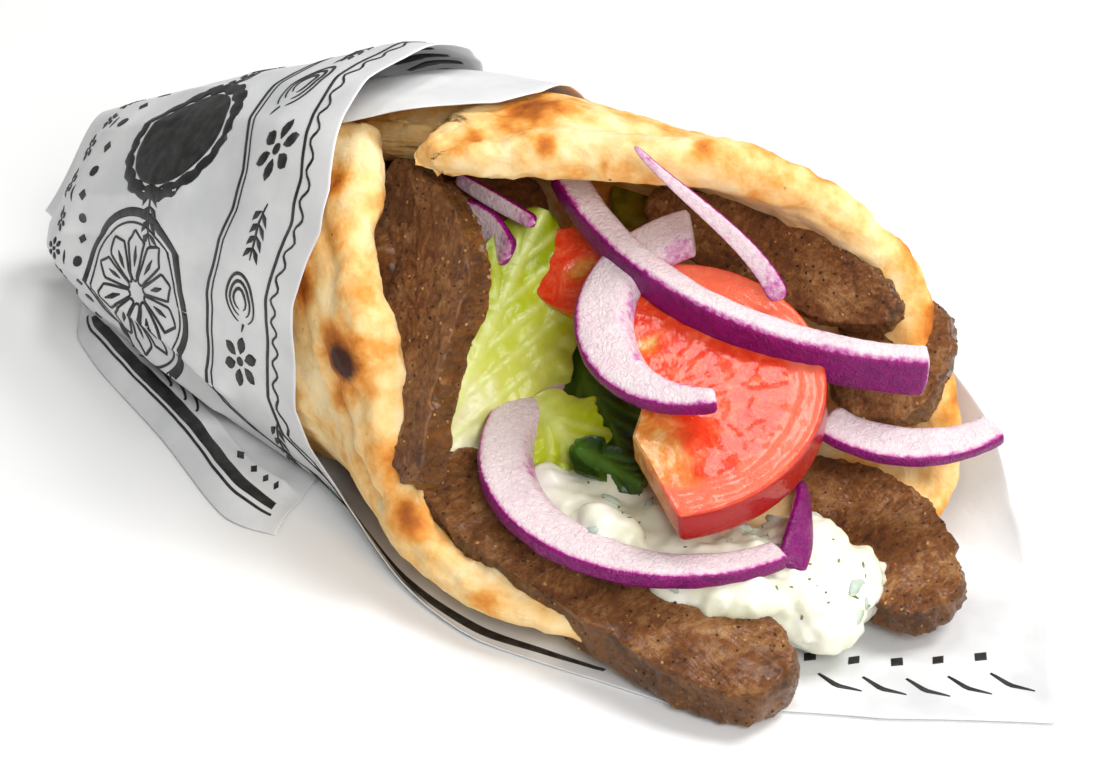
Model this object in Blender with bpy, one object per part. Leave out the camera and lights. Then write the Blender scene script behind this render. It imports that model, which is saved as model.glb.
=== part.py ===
"""Gyro wrap in a printed paper cone, lying on its side.

The pita is a rolled flatbread, the paper a rolled sheet that runs out flat in front of
it, and the filling lies in the open mouth.  All sizes are in millimetres and turned into
metres when a mesh is made.  +X runs along the roll toward the mouth, -Y is the near side.
"""
import math

import bmesh
import bpy
from mathutils import Vector

MM = 0.001
SHIFT = Vector((2.01, 5.76, 0.0))     # puts the origin below the middle of the whole

# ---- the roll: half width, height of its top and middle line along its length ----
HALF_W = ((-142, 16), (-126, 21), (-100, 28), (-60, 34), (-28, 38), (0, 42.5), (40, 47.5),
          (60, 48.5), (131, 49))
ROLL_TOP = ((-142, 30), (-131, 35), (-106, 47), (-86, 56), (-60, 67), (-40, 76), (-20, 81),
            (10, 84), (45, 86), (70, 83), (131, 70))
MIDDLE_Y = ((-142, -15), (-126, -9), (-100, -5), (131, -5))
# how far the low near side bulges outward along the roll
NEAR_BULGE = ((-25, 0), (0, 4.5), (10, 6.5), (20, 8), (30, 8.5), (46, 5.5), (60, 3), (131, 2))
PAPER_T = 0.8            # paper, thicker than life so that it is a sound solid
PAPER_GAP = 0.8          # air between paper and bread
PITA_T = 9.5             # bread thickness
BED = PAPER_T + PAPER_GAP

# rim of the bread: (angle round the roll, how far forward it reaches)
PITA_NEAR = -165.0
PITA_FAR = 206.0
PITA_BACK = -92.0
TONGUE_BACK = -15.5      # the far end's front corner reaches over the top as a short tongue
TONGUE_FROM = 181.0      # angle where the bread ends behind that tongue
PITA_RIM = ((-165, -30.5), (-150, -21.5), (-144, -19), (-129, -15), (-121, -11.5),
            (-112, -7.5), (-106, -4), (-98, -1.5), (-84, 2), (-76, 4.5), (-63, 10.5),
            (-57, 16), (-53, 27), (-49, 46), (-45, 60), (-38, 71), (-20, 81), (0, 84),
            (25, 84), (45, 81), (70, 78), (85, 74), (100, 68), (120, 60), (140, 50),
            (155, 39), (167, 30), (173, 24), (179, 17), (186, 10), (194, 3), (202, -4),
            (206, -10))
# front edge of the paper, far inner end first when read backwards
PAPER_FAR = 203.0
PAPER_NEAR = -238.0
PAPER_RIM = ((-238, -44), (-215, -34), (-200, -29), (-165, -30), (-151, -27), (-134, -20),
             (-123, -19.5), (-114, -22.5), (-100, -25.5), (-66, -28), (-57, -25),
             (-51, -17), (-47.5, -4), (-45.5, 18), (-44, 36), (-42, 56), (-38, 76), (-18, 107),
             (4, 132), (28, 115), (41, 101), (53, 90), (68, 82), (80, 69), (95, 40), (112, 4),
             (135, -5), (165, -4), (178, -8), (187, -17), (193, -22), (203, -36))
# outlines of two uneven meat slices: (angle round the slice, factor on its radius)
MEAT_NEAR_AT = (-3.3, -28.9, 49.7)
MEAT_NEAR_SHAPE = ((0, 0.71), (28, 0.98), (39, 1.13), (63, 1.08), (89, 0.86), (114, 0.76),
                   (149, 0.86), (176, 1.0), (192, 1.03), (201, 0.86), (214, 0.68), (238, 0.63),
                   (264, 0.78), (284, 0.83), (304, 0.75), (334, 0.67), (360, 0.71))
MEAT_RIGHT_SHAPE = ((0, 1.11), (23, 1.08), (53, 0.93), (90, 0.79), (117, 0.66), (157, 0.66),
                    (180, 0.76), (200, 0.92), (257, 1.0), (294, 0.9), (313, 1.1), (332, 1.2),
                    (360, 1.11))
TAIL_X = -123.0
TAIL_BOW = 14.0


def spline(x, knots):
    """Smooth value at x through the knots, without overshoot."""
    if x <= knots[0][0]:
        return knots[0][1]
    if x >= knots[-1][0]:
        return knots[-1][1]
    i = 0
    while x > knots[i + 1][0]:
        i += 1
    slopes = [(knots[k + 1][1] - knots[k][1]) / (knots[k + 1][0] - knots[k][0])
              for k in range(len(knots) - 1)]
    here = slopes[i]
    before = slopes[i - 1] if i > 0 else here
    after = slopes[i + 1] if i + 1 < len(slopes) else here
    m0 = 0.0 if before * here <= 0 else 2 * before * here / (before + here)
    m1 = 0.0 if after * here <= 0 else 2 * after * here / (after + here)
    h = knots[i + 1][0] - knots[i][0]
    t = (x - knots[i][0]) / h
    return ((2 * t ** 3 - 3 * t ** 2 + 1) * knots[i][1] + (t ** 3 - 2 * t ** 2 + t) * h * m0
            + (3 * t ** 2 - 2 * t ** 3) * knots[i + 1][1] + (t ** 3 - t ** 2) * h * m1)


def straight(x, knots):
    """Value at x on the straight lines through the knots."""
    for (x0, y0), (x1, y1) in zip(knots, knots[1:]):
        if x <= x1:
            return y0 + (y1 - y0) * (x - x0) / (x1 - x0)
    return knots[-1][1]


def smooth(t):
    t = min(1.0, max(0.0, t))
    return t * t * (3 - 2 * t)


def roll_point(theta, x, grow, pinch=1.0, ease=1.0):
    """Point on the roll: theta 0 below, 90 far side, 180 top, -90 near side."""
    a = spline(x, HALF_W) * pinch + 1.0 * (1 - pinch) + grow
    mid = 0.5 * spline(x, ROLL_TOP)
    s = math.sin(math.radians(theta))
    c = math.cos(math.radians(theta))
    n = 2.3 + 1.9 * smooth((c + 0.1) / 0.9) * smooth((x + 125) / 90)
    if s < 0:
        n += 2.6 * smooth((c + 0.1) / 0.9) * smooth((x + 20) / 35)
        a += spline(x, NEAR_BULGE) * smooth((c + 0.2) / 0.8)
    rho = (abs(s) ** n + abs(c) ** n) ** (-1.0 / n)
    z = mid - rho * c * (mid + grow + 3.0 * smooth(c))
    bed = BED - grow + 1.5 * smooth((-22 - x) / 35)
    blend = max(ease - abs(z - bed), 0.0)
    return Vector((x, spline(x, MIDDLE_Y) + rho * s * a, max(z, bed) + blend * blend / (4 * ease)))


# ---------------------------------------------------------------- mesh helpers
def new_object(name, verts, faces, material):
    mesh = bpy.data.meshes.new(name)
    mesh.from_pydata([((v + SHIFT) * MM)[:] for v in verts], [], faces)
    bm = bmesh.new()
    bm.from_mesh(mesh)
    bmesh.ops.triangulate(bm, faces=bm.faces)
    bmesh.ops.recalc_face_normals(bm, faces=bm.faces)
    if bm.calc_volume(signed=True) < 0:
        bmesh.ops.reverse_faces(bm, faces=bm.faces)
    bm.to_mesh(mesh)
    bm.free()
    mesh.materials.append(material)
    obj = bpy.data.objects.new(name, mesh)
    bpy.context.scene.collection.objects.link(obj)
    return obj


def material(name, colour, roughness, metallic=0.0):
    mat = bpy.data.materials.new(name)
    mat.use_nodes = True
    shader = mat.node_tree.nodes["Principled BSDF"]
    linear = [((c + 0.055) / 1.055) ** 2.4 for c in colour]
    shader.inputs["Base Color"].default_value = (*linear, 1.0)
    shader.inputs["Roughness"].default_value = roughness
    shader.inputs["Metallic"].default_value = metallic
    return mat


def slab(name, point, half, columns, rows, mat):
    """Closed sheet: point(i, j) is its middle surface, half(i, j) half its thickness.

    The outer ring of the grid has no thickness and closes the two faces together.
    """
    top, low, verts = {}, {}, []
    for i in range(columns):
        for j in range(rows):
            p, n = point(i, j)
            h = half(i, j)
            edge = i in (0, columns - 1) or j in (0, rows - 1)
            top[i, j] = len(verts)
            verts.append(p + n * (0.0 if edge else h))
            low[i, j] = top[i, j]
            if not edge:
                low[i, j] = len(verts)
                verts.append(p - n * h)
    faces = []
    for i in range(columns - 1):
        for j in range(rows - 1):
            quad = [(i, j), (i + 1, j), (i + 1, j + 1), (i, j + 1)]
            faces.append([top[q] for q in quad])
            faces.append([low[q] for q in reversed(quad)])
    return new_object(name, verts, faces, mat)


def surface_normal(fn, u, v, du, dv):
    a = fn(u + du, v) - fn(u - du, v)
    b = fn(u, v + dv) - fn(u, v - dv)
    return a.cross(b).normalized()


def facing(az, el, spin=0.0):
    """Axes of a flat piece whose face looks toward azimuth az and height el."""
    az, el, spin = math.radians(az), math.radians(el), math.radians(spin)
    n = Vector((math.sin(az) * math.cos(el), -math.cos(az) * math.cos(el), math.sin(el)))
    u = Vector((math.cos(az), math.sin(az), 0.0))
    v = n.cross(u)
    return (math.cos(spin) * u + math.sin(spin) * v, -math.sin(spin) * u + math.cos(spin) * v, n)


def slice_piece(name, centre, face, size, mat, power=2.4, wave=0.0, steps=18, chords=(),
                outline=None):
    """Slice with a rounded outline, cut off straight along its chords.

    outline gives (angle, factor on the radius) where the slice is not a plain oval.
    """
    along, across, out = facing(*face)
    length, width, thick = size
    rings = ((0.6, 1.0), (0.94, 0.94), (1.0, 0.6))
    verts, faces = [], []

    def at(r, k, side):
        t = 2 * math.pi * k / steps
        c, s = math.cos(t), math.sin(t)
        ripple = 1 + wave * math.sin(5 * t + length) + 0.6 * wave * math.sin(3 * t + width)
        for angle, keep in chords:
            toward = math.cos(t - math.radians(angle))
            if r * toward > keep:
                r = keep / toward
        if outline:
            ripple *= spline(math.degrees(t), outline)
        p = r * math.copysign(abs(c) ** (2 / power), c) * ripple
        q = r * math.copysign(abs(s) ** (2 / power), s) * ripple
        return (Vector(centre) + along * (p * length / 2) + across * (q * width / 2)
                + out * (side * thick / 2))

    for sign in (1, -1):
        start = len(verts)
        verts.append(at(0.0, 0, sign))
        for r, h in rings:
            verts += [at(r, k, sign * h) for k in range(steps)]
        for k in range(steps):
            m = (k + 1) % steps
            faces.append([start, start + 1 + k, start + 1 + m])
            for g in range(len(rings) - 1):
                b = start + 1 + g * steps
                faces.append([b + k, b + steps + k, b + steps + m, b + m])
    last = 1 + (len(rings) - 1) * steps
    other = len(verts) // 2
    for k in range(steps):
        m = (k + 1) % steps
        faces.append([last + k, other + last + k, other + last + m, last + m])
    return new_object(name, verts, faces, mat)


def sweep(name, rings, mat):
    """Closed body through rings of points, with flat ends."""
    count = len(rings[0])
    verts = [p for ring in rings for p in ring]
    faces = [list(range(count)), [len(verts) - 1 - k for k in range(count)]]
    for g in range(len(rings) - 1):
        for k in range(count):
            m = (k + 1) % count
            b = g * count
            faces.append([b + k, b + m, b + count + m, b + count + k])
    return new_object(name, verts, faces, mat)


def onion(name, centre, face, radius, width, depth, start, end, mat, lean=0.0, rise=0.0,
          steps=14):
    """Arc cut from one onion ring; width and depth are (at start, middle, end)."""
    u, v, n = facing(*face)
    rings = []
    for i in range(steps + 1):
        t = i / steps
        ang = math.radians(start + (end - start) * t)
        w = spline(t, ((0, width[0]), (0.5, width[1]), (1, width[2])))
        d = spline(t, ((0, depth[0]), (0.5, depth[1]), (1, depth[2])))
        shape = ((-1.0, -0.75), (-0.85, -0.1), (-0.5, 0.05), (-0.12, 0.0), (0.0, -0.12),
                 (0.0, -0.55), (-0.1, -0.95), (-0.55, -1.05))
        base = Vector(centre) + n * (rise * (t - 0.5) * 2)
        ring = []
        for a, b in shape:
            r = radius + a * w + lean * b * d
            ring.append(base + (u * math.cos(ang) + v * math.sin(ang)) * r + n * (b * d))
        rings.append(ring)
    return sweep(name, rings, mat)


def ribbon(name, spine, across, width, thick, mat, steps=10):
    """Strip along a curved middle line; across is its width direction at both ends."""
    rings = []
    for i in range(steps + 1):
        t = i / steps
        p = bezier(spine, t)
        tangent = (bezier(spine, min(1, t + 0.02)) - bezier(spine, max(0, t - 0.02))).normalized()
        side = Vector(across[0]).lerp(Vector(across[1]), t)
        side = (side - tangent * side.dot(tangent)).normalized()
        out = tangent.cross(side)
        w = 0.5 * spline(t, ((0, width[0]), (0.5, width[1]), (1, width[2])))
        h = 0.5 * thick
        shape = ((-1, 0), (-0.9, -1), (0.9, -1), (1, 0), (0.9, 1), (-0.9, 1))
        rings.append([p + side * (a * w) + out * (b * h) for a, b in shape])
    return sweep(name, rings, mat)


def bezier(points, t):
    points = [Vector(p) for p in points]
    while len(points) > 1:
        points = [a.lerp(b, t) for a, b in zip(points, points[1:])]
    return points[0]


def blob(name, centre, size, mat, turn=0.0):
    """Rounded lump."""
    mesh = bpy.data.meshes.new(name)
    bm = bmesh.new()
    bmesh.ops.create_uvsphere(bm, u_segments=14, v_segments=8, radius=1.0)
    ca, sa = math.cos(math.radians(turn)), math.sin(math.radians(turn))
    for v in bm.verts:
        x, y, z = v.co.x * size[0], v.co.y * size[1], v.co.z * size[2]
        v.co = (Vector((x * ca - y * sa, x * sa + y * ca, z)) + Vector(centre) + SHIFT) * MM
    bm.to_mesh(mesh)
    bm.free()
    mesh.materials.append(mat)
    obj = bpy.data.objects.new(name, mesh)
    bpy.context.scene.collection.objects.link(obj)
    return obj


def largest_island(mesh):
    bm = bmesh.new()
    bm.from_mesh(mesh)
    bmesh.ops.triangulate(bm, faces=bm.faces)
    left = set(bm.faces)
    best = []
    while left:
        group = [left.pop()]
        k = 0
        while k < len(group):
            for edge in group[k].edges:
                for other in edge.link_faces:
                    if other in left:
                        left.remove(other)
                        group.append(other)
            k += 1
        size = sum(f.calc_area() for f in group)
        if not best or size > best[0]:
            best = [size, group]
    keep = set(best[1])
    bmesh.ops.delete(bm, geom=[f for f in bm.faces if f not in keep], context="FACES")
    bmesh.ops.delete(bm, geom=[v for v in bm.verts if not v.link_faces], context="VERTS")
    bm.to_mesh(mesh)
    bm.free()


def boolean(obj, other, operation):
    mod = obj.modifiers.new("cut", "BOOLEAN")
    mod.operation = operation
    mod.object = other
    mod.solver = "EXACT"
    graph = bpy.context.evaluated_depsgraph_get()
    mesh = bpy.data.meshes.new_from_object(obj.evaluated_get(graph))
    obj.modifiers.clear()
    old = obj.data
    obj.data = mesh
    mesh.name = obj.name
    bpy.data.meshes.remove(old)


def boxes_meet(a, b):
    for k in range(3):
        amin = min(v.co[k] for v in a.data.vertices)
        amax = max(v.co[k] for v in a.data.vertices)
        bmin = min(v.co[k] for v in b.data.vertices)
        bmax = max(v.co[k] for v in b.data.vertices)
        if amin > bmax or bmin > amax:
            return False
    return True


def swollen(obj, gap):
    """Copy of a piece grown outward by the gap, used to cut its neighbours."""
    tool = obj.copy()
    tool.data = obj.data.copy()
    tool.name = obj.name + "_tool"
    bpy.context.scene.collection.objects.link(tool)
    shifts = [v.normal * gap * MM for v in tool.data.vertices]
    for v, d in zip(tool.data.vertices, shifts):
        v.co += d
    return tool


def carve(obj, tools):
    """Cut away what lies within the gap of the other pieces and keep the main body."""
    for tool in tools:
        if boxes_meet(obj, tool):
            boolean(obj, tool, "DIFFERENCE")
    largest_island(obj.data)


# ---------------------------------------------------------------- paper and bread
def build_paper(mat):
    thetas = [PAPER_FAR - 1.0 - k * 9.0 for k in range(int((PAPER_FAR - PAPER_NEAR) / 9.0) + 1)]
    thetas = [t for t in thetas
              if t > PAPER_NEAR + 1.5 and not -56 < t < -42 and abs(t - 4) > 2]
    thetas += [PAPER_FAR, -43.0, -44.0, -45.5, -47.5, -49.0, -51.0, -54.0, 4.0, PAPER_NEAR + 1.0, PAPER_NEAR]
    thetas.sort(reverse=True)
    cuts = (0.0, 0.004, 0.06, 0.13, 0.23, 0.36, 0.5, 0.66, 0.83, 0.996, 1.0)

    def tail(theta):
        return TAIL_X - TAIL_BOW * (1 - abs(math.cos(math.radians(theta))))

    def middle(theta, x):
        loose = 1.8 + 4.6 * smooth((x + 125) / 95)
        lift = loose * smooth((-theta - 100) / 65) * (1 - 0.8 * smooth((-theta - 180) / 36))
        lift += 1.3 * smooth((-theta - 60) / 60)
        pinch = smooth((x - tail(theta) + 1.0) / 24) ** 0.8
        return roll_point(theta, x, PAPER_GAP + PAPER_T / 2 + lift, pinch)

    def point(i, j):
        theta = thetas[i]
        x0, x1 = tail(theta), straight(theta, PAPER_RIM)
        x = x0 + (x1 - x0) * cuts[j]
        return middle(theta, x), surface_normal(middle, theta, x, 0.5, 0.5)

    sheet = slab("paper", point, lambda i, j: PAPER_T / 2, len(thetas), len(cuts), mat)

    # the folded end of the sheet, tucked below the near side of the roll
    outer = ((-121, -17), (-112, -30), (-100, -36), (-66, -47), (-33, -58.5), (-22, -56))
    inner = ((-114, -10), (-100, -12), (-86, -16), (-64, -22), (-46, -28), (-32, -32))
    us = (0.0, 0.03, 0.16, 0.34, 0.54, 0.74, 0.985, 1.0)
    vs = (0.0, 0.02, 0.12, 0.25, 0.38, 0.5, 0.98, 1.0)

    def along(line, u):
        k = [(g / (len(line) - 1), p) for g, p in enumerate(line)]
        return Vector((spline(u, [(g, p[0]) for g, p in k]), spline(u, [(g, p[1]) for g, p in k]), 0))

    def flap(u, v):
        p = along(outer, u).lerp(along(inner, u), v)
        p.z = PAPER_T / 2 + 4.2 * math.sin(math.pi * min(1.0, v / 0.5)) * (0.4 + 0.6 * u)
        p.z += 9.0 * smooth((0.16 - u) / 0.16)
        return p

    fold = slab("fold", lambda i, j: (flap(us[i], vs[j]), surface_normal(flap, us[i], vs[j], .01, .01)),
                lambda i, j: PAPER_T / 2, len(us), len(vs), mat)
    boolean(sheet, fold, "UNION")
    bpy.data.objects.remove(fold)
    return sheet


def build_pita(mat):
    r = PITA_T / 2
    thetas = [PITA_NEAR, PITA_NEAR + 2.0, PITA_NEAR + 6.5]
    t = PITA_NEAR + 14
    while t < PITA_FAR - 10:
        thetas.append(t)
        t += 2.5 if -64 < t < -42 else (3.0 if t > 160 else 9.0)
    thetas += [PITA_FAR - 6.5, PITA_FAR - 2.0, PITA_FAR]

    def back_end(theta):
        return PITA_BACK + (TONGUE_BACK - PITA_BACK) * smooth((theta - TONGUE_FROM) / 9)

    def middle(theta, x):
        tuck = 5.5 * smooth((theta - 155) / 26) * smooth((TONGUE_BACK + 2.5 - x) / 8)
        tuck *= smooth((x + 78) / 32)
        puff = 0.8 * math.sin(theta * 0.09 + x * 0.07) * math.sin(theta * 0.05 - x * 0.05)
        return roll_point(theta, x, -r - tuck + min(0.0, puff - 0.8), ease=7.0)

    def point(i, j):
        theta = thetas[i]
        rim = spline(theta, PITA_RIM)
        slope = (spline(theta + 1, PITA_RIM) - spline(theta - 1, PITA_RIM)) / 1.6
        reach = r * math.sqrt(1 + min(abs(slope), 5.0) ** 2)
        back = back_end(theta)
        reach = min(reach, 0.48 * (rim - back))
        xs = [back, back + min(1.4, 0.2 * reach), back + min(r, 0.8 * reach)]
        last = rim - reach
        xs += [xs[2] + (last - xs[2]) * f for f in (0.2, 0.4, 0.58, 0.74, 0.88, 1.0)]
        xs += [rim - 0.29 * reach, rim]
        x = xs[j]
        return middle(theta, x), surface_normal(middle, theta, x, 0.8, 0.8)

    rows = 11
    soft = {0: 0.0, 1: 0.71, 2: 1.0}

    def half(i, j):
        a = soft.get(i, soft.get(len(thetas) - 1 - i, 1.0))
        b = soft.get(j, soft.get(rows - 1 - j, 1.0))
        return r * min(a, b)

    return slab("pita", point, half, len(thetas), rows, mat)


def build_core(mat):
    """The packed filling that runs through the roll behind the pieces in the mouth."""
    stations = ((-87.0, 0.45), (-84.0, 0.8), (-76.0, 1.0), (-58.0, 1.0), (-40.0, 1.0), (-24.0, 1.0),
                (-14.0, 0.86), (-10.0, 0.5))
    rings = []
    for x, size in stations:
        middle = Vector((x, spline(x, MIDDLE_Y), 0.5 * spline(x, ROLL_TOP) - 2.0))
        ring = []
        for k in range(20):
            theta = 360.0 * k / 20
            low = 9.0 * smooth((-math.cos(math.radians(theta)) - 0.45) / 0.5)
            p = roll_point(theta, x, -(PITA_T + 2.5) - low, ease=7.0)
            ring.append(middle.lerp(p, size))
        rings.append(ring)
    return sweep("filling_core", rings, mat)


# ---------------------------------------------------------------- the whole
def main():
    for obj in list(bpy.data.objects):
        bpy.data.objects.remove(obj)

    paper_mat = material("printed_paper", (0.90, 0.90, 0.89), 0.6)
    bread_mat = material("pita_bread", (0.90, 0.75, 0.50), 0.8)
    meat_mat = material("gyro_meat", (0.38, 0.22, 0.14), 0.5)
    core_mat = material("packed_filling", (0.30, 0.17, 0.10), 0.6)
    tomato_mat = material("tomato", (0.85, 0.20, 0.12), 0.25)
    onion_mat = material("red_onion", (0.86, 0.70, 0.80), 0.3)
    leaf_mat = material("lettuce", (0.68, 0.76, 0.25), 0.4)
    herb_mat = material("dark_leaf", (0.20, 0.36, 0.10), 0.5)
    pickle_mat = material("pepper_slice", (0.42, 0.42, 0.10), 0.35)
    sauce_mat = material("yogurt_sauce", (0.95, 0.94, 0.86), 0.3)

    paper = build_paper(paper_mat)
    pita = build_pita(bread_mat)
    tools = [swollen(paper, 0.5), swollen(pita, 0.5)]

    def add(obj):
        tool = swollen(obj, 0.5)
        carve(obj, tools)
        tools.append(tool)

    add(onion("onion_arc", (33.4, 70.1, 68.6), (58, 76), 74.0, (6.5, 5.5, 5.0), (4.5, 8.5, 10.5),
              184, 257, onion_mat))
    add(onion("onion_ring_front", (43.6, -8.9, 27), (39, 85), 38.8, (8.5, 9.5, 5.5),
              (5.0, 4.0, 3.5), 120, 305, onion_mat, steps=18))
    add(onion("onion_right", (68.2, 32.8, 44.3), (42, 68), 29.7, (7.0, 7.5, 6.0), (3, 3.5, 3),
              229, 306, onion_mat))
    add(onion("onion_ring_back", (43, -0.8, 56.8), (9, 68), 25.5, (8.5, 9.5, 4.0),
              (4.5, 4.0, 3.5), 126, 305, onion_mat, steps=18))
    add(ribbon("onion_strip", ((27, -3, 86), (36, -1, 78), (46, 12, 66), (52, 12, 55)),
               ((0.6, 0.7, 0.3), (0.5, 0.7, 0.3)), (2.0, 4.0, 6.0), 1.8, onion_mat))
    add(ribbon("onion_sliver", ((-20, -3, 62), (-9, -4, 61), (3, -5, 61)),
               ((0.3, 0.3, 0.9), (0.3, 0.3, 0.9)), (3.0, 3.5, 3.0), 2.0, onion_mat))
    add(ribbon("onion_inner", ((-17, -6, 55), (-9, -6, 56), (0, -9, 54)),
               ((0.2, 0.3, 0.9), (0.2, 0.3, 0.9)), (9.0, 9.0, 6.0), 2.2, onion_mat))
    add(ribbon("onion_under", ((80, -18, 20), (78, -11, 25), (71, -3, 27)),
               ((0.5, -0.4, -0.6), (0.5, -0.4, -0.6)), (6.0, 7.0, 6.0), 2.2, onion_mat))
    add(slice_piece("tomato_front", (45, -12.5, 40.8), (29, 68), (61, 61, 9.0), tomato_mat,
                    power=2.0, steps=28, chords=((216, 0.37), (180, 0.36))))
    add(slice_piece("tomato_back", (9, 3, 48), (10, 45), (24, 18, 7.0), tomato_mat))
    add(slice_piece("meat_near", MEAT_NEAR_AT, (-20, 30, 128), (72, 36, 6.5), meat_mat,
                    power=2.0, steps=30, outline=MEAT_NEAR_SHAPE))
    add(slice_piece("meat_front", (49.5, -36.5, 11.8), (30, 76, -30), (88, 25, 10), meat_mat,
                    power=2.6, wave=0.02))
    add(slice_piece("meat_right", (77, 14, 12.2), (17, 75, -42), (48, 27, 7), meat_mat,
                    power=2.0, steps=24, outline=MEAT_RIGHT_SHAPE))
    add(slice_piece("meat_back", (40, 25, 54), (14, 37, -9), (58, 16, 7), meat_mat, wave=0.03))
    add(slice_piece("meat_far", (64.7, 33, 37.2), (16, 47, 87), (28, 24, 7), meat_mat))
    add(slice_piece("pepper_slice", (3.5, 26.3, 53.5), (19, 70, -62), (15, 12, 3), pickle_mat))
    add(slice_piece("lettuce_leaf", (6, -15.2, 35), (64, 32, -119), (70, 30, 2.2), leaf_mat))
    add(slice_piece("lettuce_heart", (22, -18, 25.5), (5, 58, -24), (22, 17, 3.0), leaf_mat))
    add(slice_piece("leaf_dark", (23, -8, 28), (-4, 58, -28), (30, 18, 3.0), herb_mat))
    add(slice_piece("leaf_dark_low", (33, -16, 21), (10, 65, -10), (15, 8, 2.5), herb_mat))

    add(build_core(core_mat))

    sauce = blob("yogurt_sauce", (34, -24, 17), (38, 15, 7), sauce_mat)
    lumps = (((62, -23, 15), (21, 13, 8), 0), ((76, -16, 11), (16, 11, 9), 15),
             ((84, -5, 11), (8.5, 9, 8), 0), ((84, -13, 7.5), (8, 8, 6), 0),
             ((75, -8, 16), (11, 8, 6.5), 30), ((48, -33, 21), (8, 6, 5), 0))
    for k, (centre, size, turn) in enumerate(lumps):
        lump = blob("lump", centre, size, sauce_mat, turn)
        boolean(sauce, lump, "UNION")
        bpy.data.objects.remove(lump)
    add(sauce)

    for tool in tools:
        mesh = tool.data
        bpy.data.objects.remove(tool)
        bpy.data.meshes.remove(mesh)


main()
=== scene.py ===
"""Looks of a gyro wrap: a rolled pita with its filling in a cone of printed paper.

Every piece is built in millimetres in the roll's own axes (+X toward the mouth, -Y the near
side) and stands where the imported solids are.
"""
import functools
import math

import bpy
import numpy as np
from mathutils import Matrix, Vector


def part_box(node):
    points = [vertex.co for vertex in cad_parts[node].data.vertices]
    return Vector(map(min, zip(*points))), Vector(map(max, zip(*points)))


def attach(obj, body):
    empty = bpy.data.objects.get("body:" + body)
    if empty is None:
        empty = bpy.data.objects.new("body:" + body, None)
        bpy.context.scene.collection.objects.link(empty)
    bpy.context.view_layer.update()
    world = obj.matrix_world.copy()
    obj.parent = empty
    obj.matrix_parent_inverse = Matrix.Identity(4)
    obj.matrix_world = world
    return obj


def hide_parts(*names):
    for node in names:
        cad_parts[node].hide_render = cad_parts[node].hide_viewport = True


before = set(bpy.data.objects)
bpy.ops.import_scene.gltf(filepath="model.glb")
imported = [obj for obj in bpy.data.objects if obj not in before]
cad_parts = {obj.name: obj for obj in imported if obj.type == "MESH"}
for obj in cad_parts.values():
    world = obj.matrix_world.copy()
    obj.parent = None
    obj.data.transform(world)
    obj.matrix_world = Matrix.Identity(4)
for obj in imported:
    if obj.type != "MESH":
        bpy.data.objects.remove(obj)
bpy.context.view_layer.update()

MM = 0.001
PER_MM = 1000.0                       # texture scale of a pattern one millimetre wide
PAPER_TIP_X, PAPER_FAR_Y = 132.0, 45.03
# the roll's axes start where the paper's tip and its far side put them
PAPER_HIGH = np.array(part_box("paper")[1][:]) / MM
SHIFT = np.array((PAPER_HIGH[0] - PAPER_TIP_X, PAPER_HIGH[1] - PAPER_FAR_Y, 0.0))

# ---- the roll: half width, height of its top and middle line along its length ----
HALF_W = ((-142, 16), (-126, 21), (-100, 28), (-60, 34), (-28, 38), (0, 42.5), (40, 47.5),
    (60, 48.5), (131, 49))
ROLL_TOP = ((-142, 30), (-131, 35), (-106, 47), (-86, 56), (-60, 67), (-40, 76), (-20, 81),
    (10, 84), (45, 86), (70, 83), (131, 70))
MIDDLE_Y = ((-142, -15), (-126, -9), (-100, -5), (131, -5))
NEAR_BULGE = ((-25, 0), (0, 4.5), (10, 6.5), (20, 8), (30, 8.5), (46, 5.5), (60, 3), (131, 2))
PAPER_SOLID = 0.8
PAPER_GAP = 0.8
PITA_T = 9.5
BED = PAPER_SOLID + PAPER_GAP
PITA_NEAR, PITA_FAR, PITA_BACK = -165.0, 206.0, -92.0
TONGUE_BACK, TONGUE_FROM = -15.5, 181.0
PITA_RIM = ((-165, -30.5), (-150, -21.5), (-144, -19), (-129, -15), (-121, -11.5), (-112, -7.5),
    (-106, -4), (-98, -1.5), (-84, 2), (-76, 4.5), (-63, 10.5), (-57, 16), (-53, 27), (-49, 46),
    (-45, 60), (-38, 71), (-20, 81), (0, 84), (25, 84), (45, 81), (70, 78), (85, 74), (100, 68),
    (120, 60), (140, 50), (155, 39), (167, 30), (173, 24), (179, 17), (186, 10), (194, 3),
    (202, -4), (206, -10))
PAPER_FAR, PAPER_NEAR = 203.0, -238.0
PAPER_RIM = ((-238, -44), (-215, -34), (-200, -29), (-165, -30), (-151, -27), (-134, -20),
    (-123, -19.5), (-114, -22.5), (-100, -25.5), (-66, -28), (-57, -25), (-51, -17), (-47.5, -4),
    (-45.5, 18), (-44, 36), (-42, 56), (-38, 76), (-18, 107), (4, 132), (28, 115), (41, 101),
    (53, 90), (68, 82), (80, 69), (95, 40), (112, 2), (135, -11), (150, -8), (165, -5), (178, -8),
    (187, -17), (193, -22), (203, -36))
TAIL_X, TAIL_BOW = -123.0, 14.0
SHEET_T = 0.3                         # drawn thickness of the paper


# ---- numbers and noise ----
def ramp(t):
    t = np.clip(t, 0.0, 1.0)
    return t * t * (3 - 2 * t)


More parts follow.
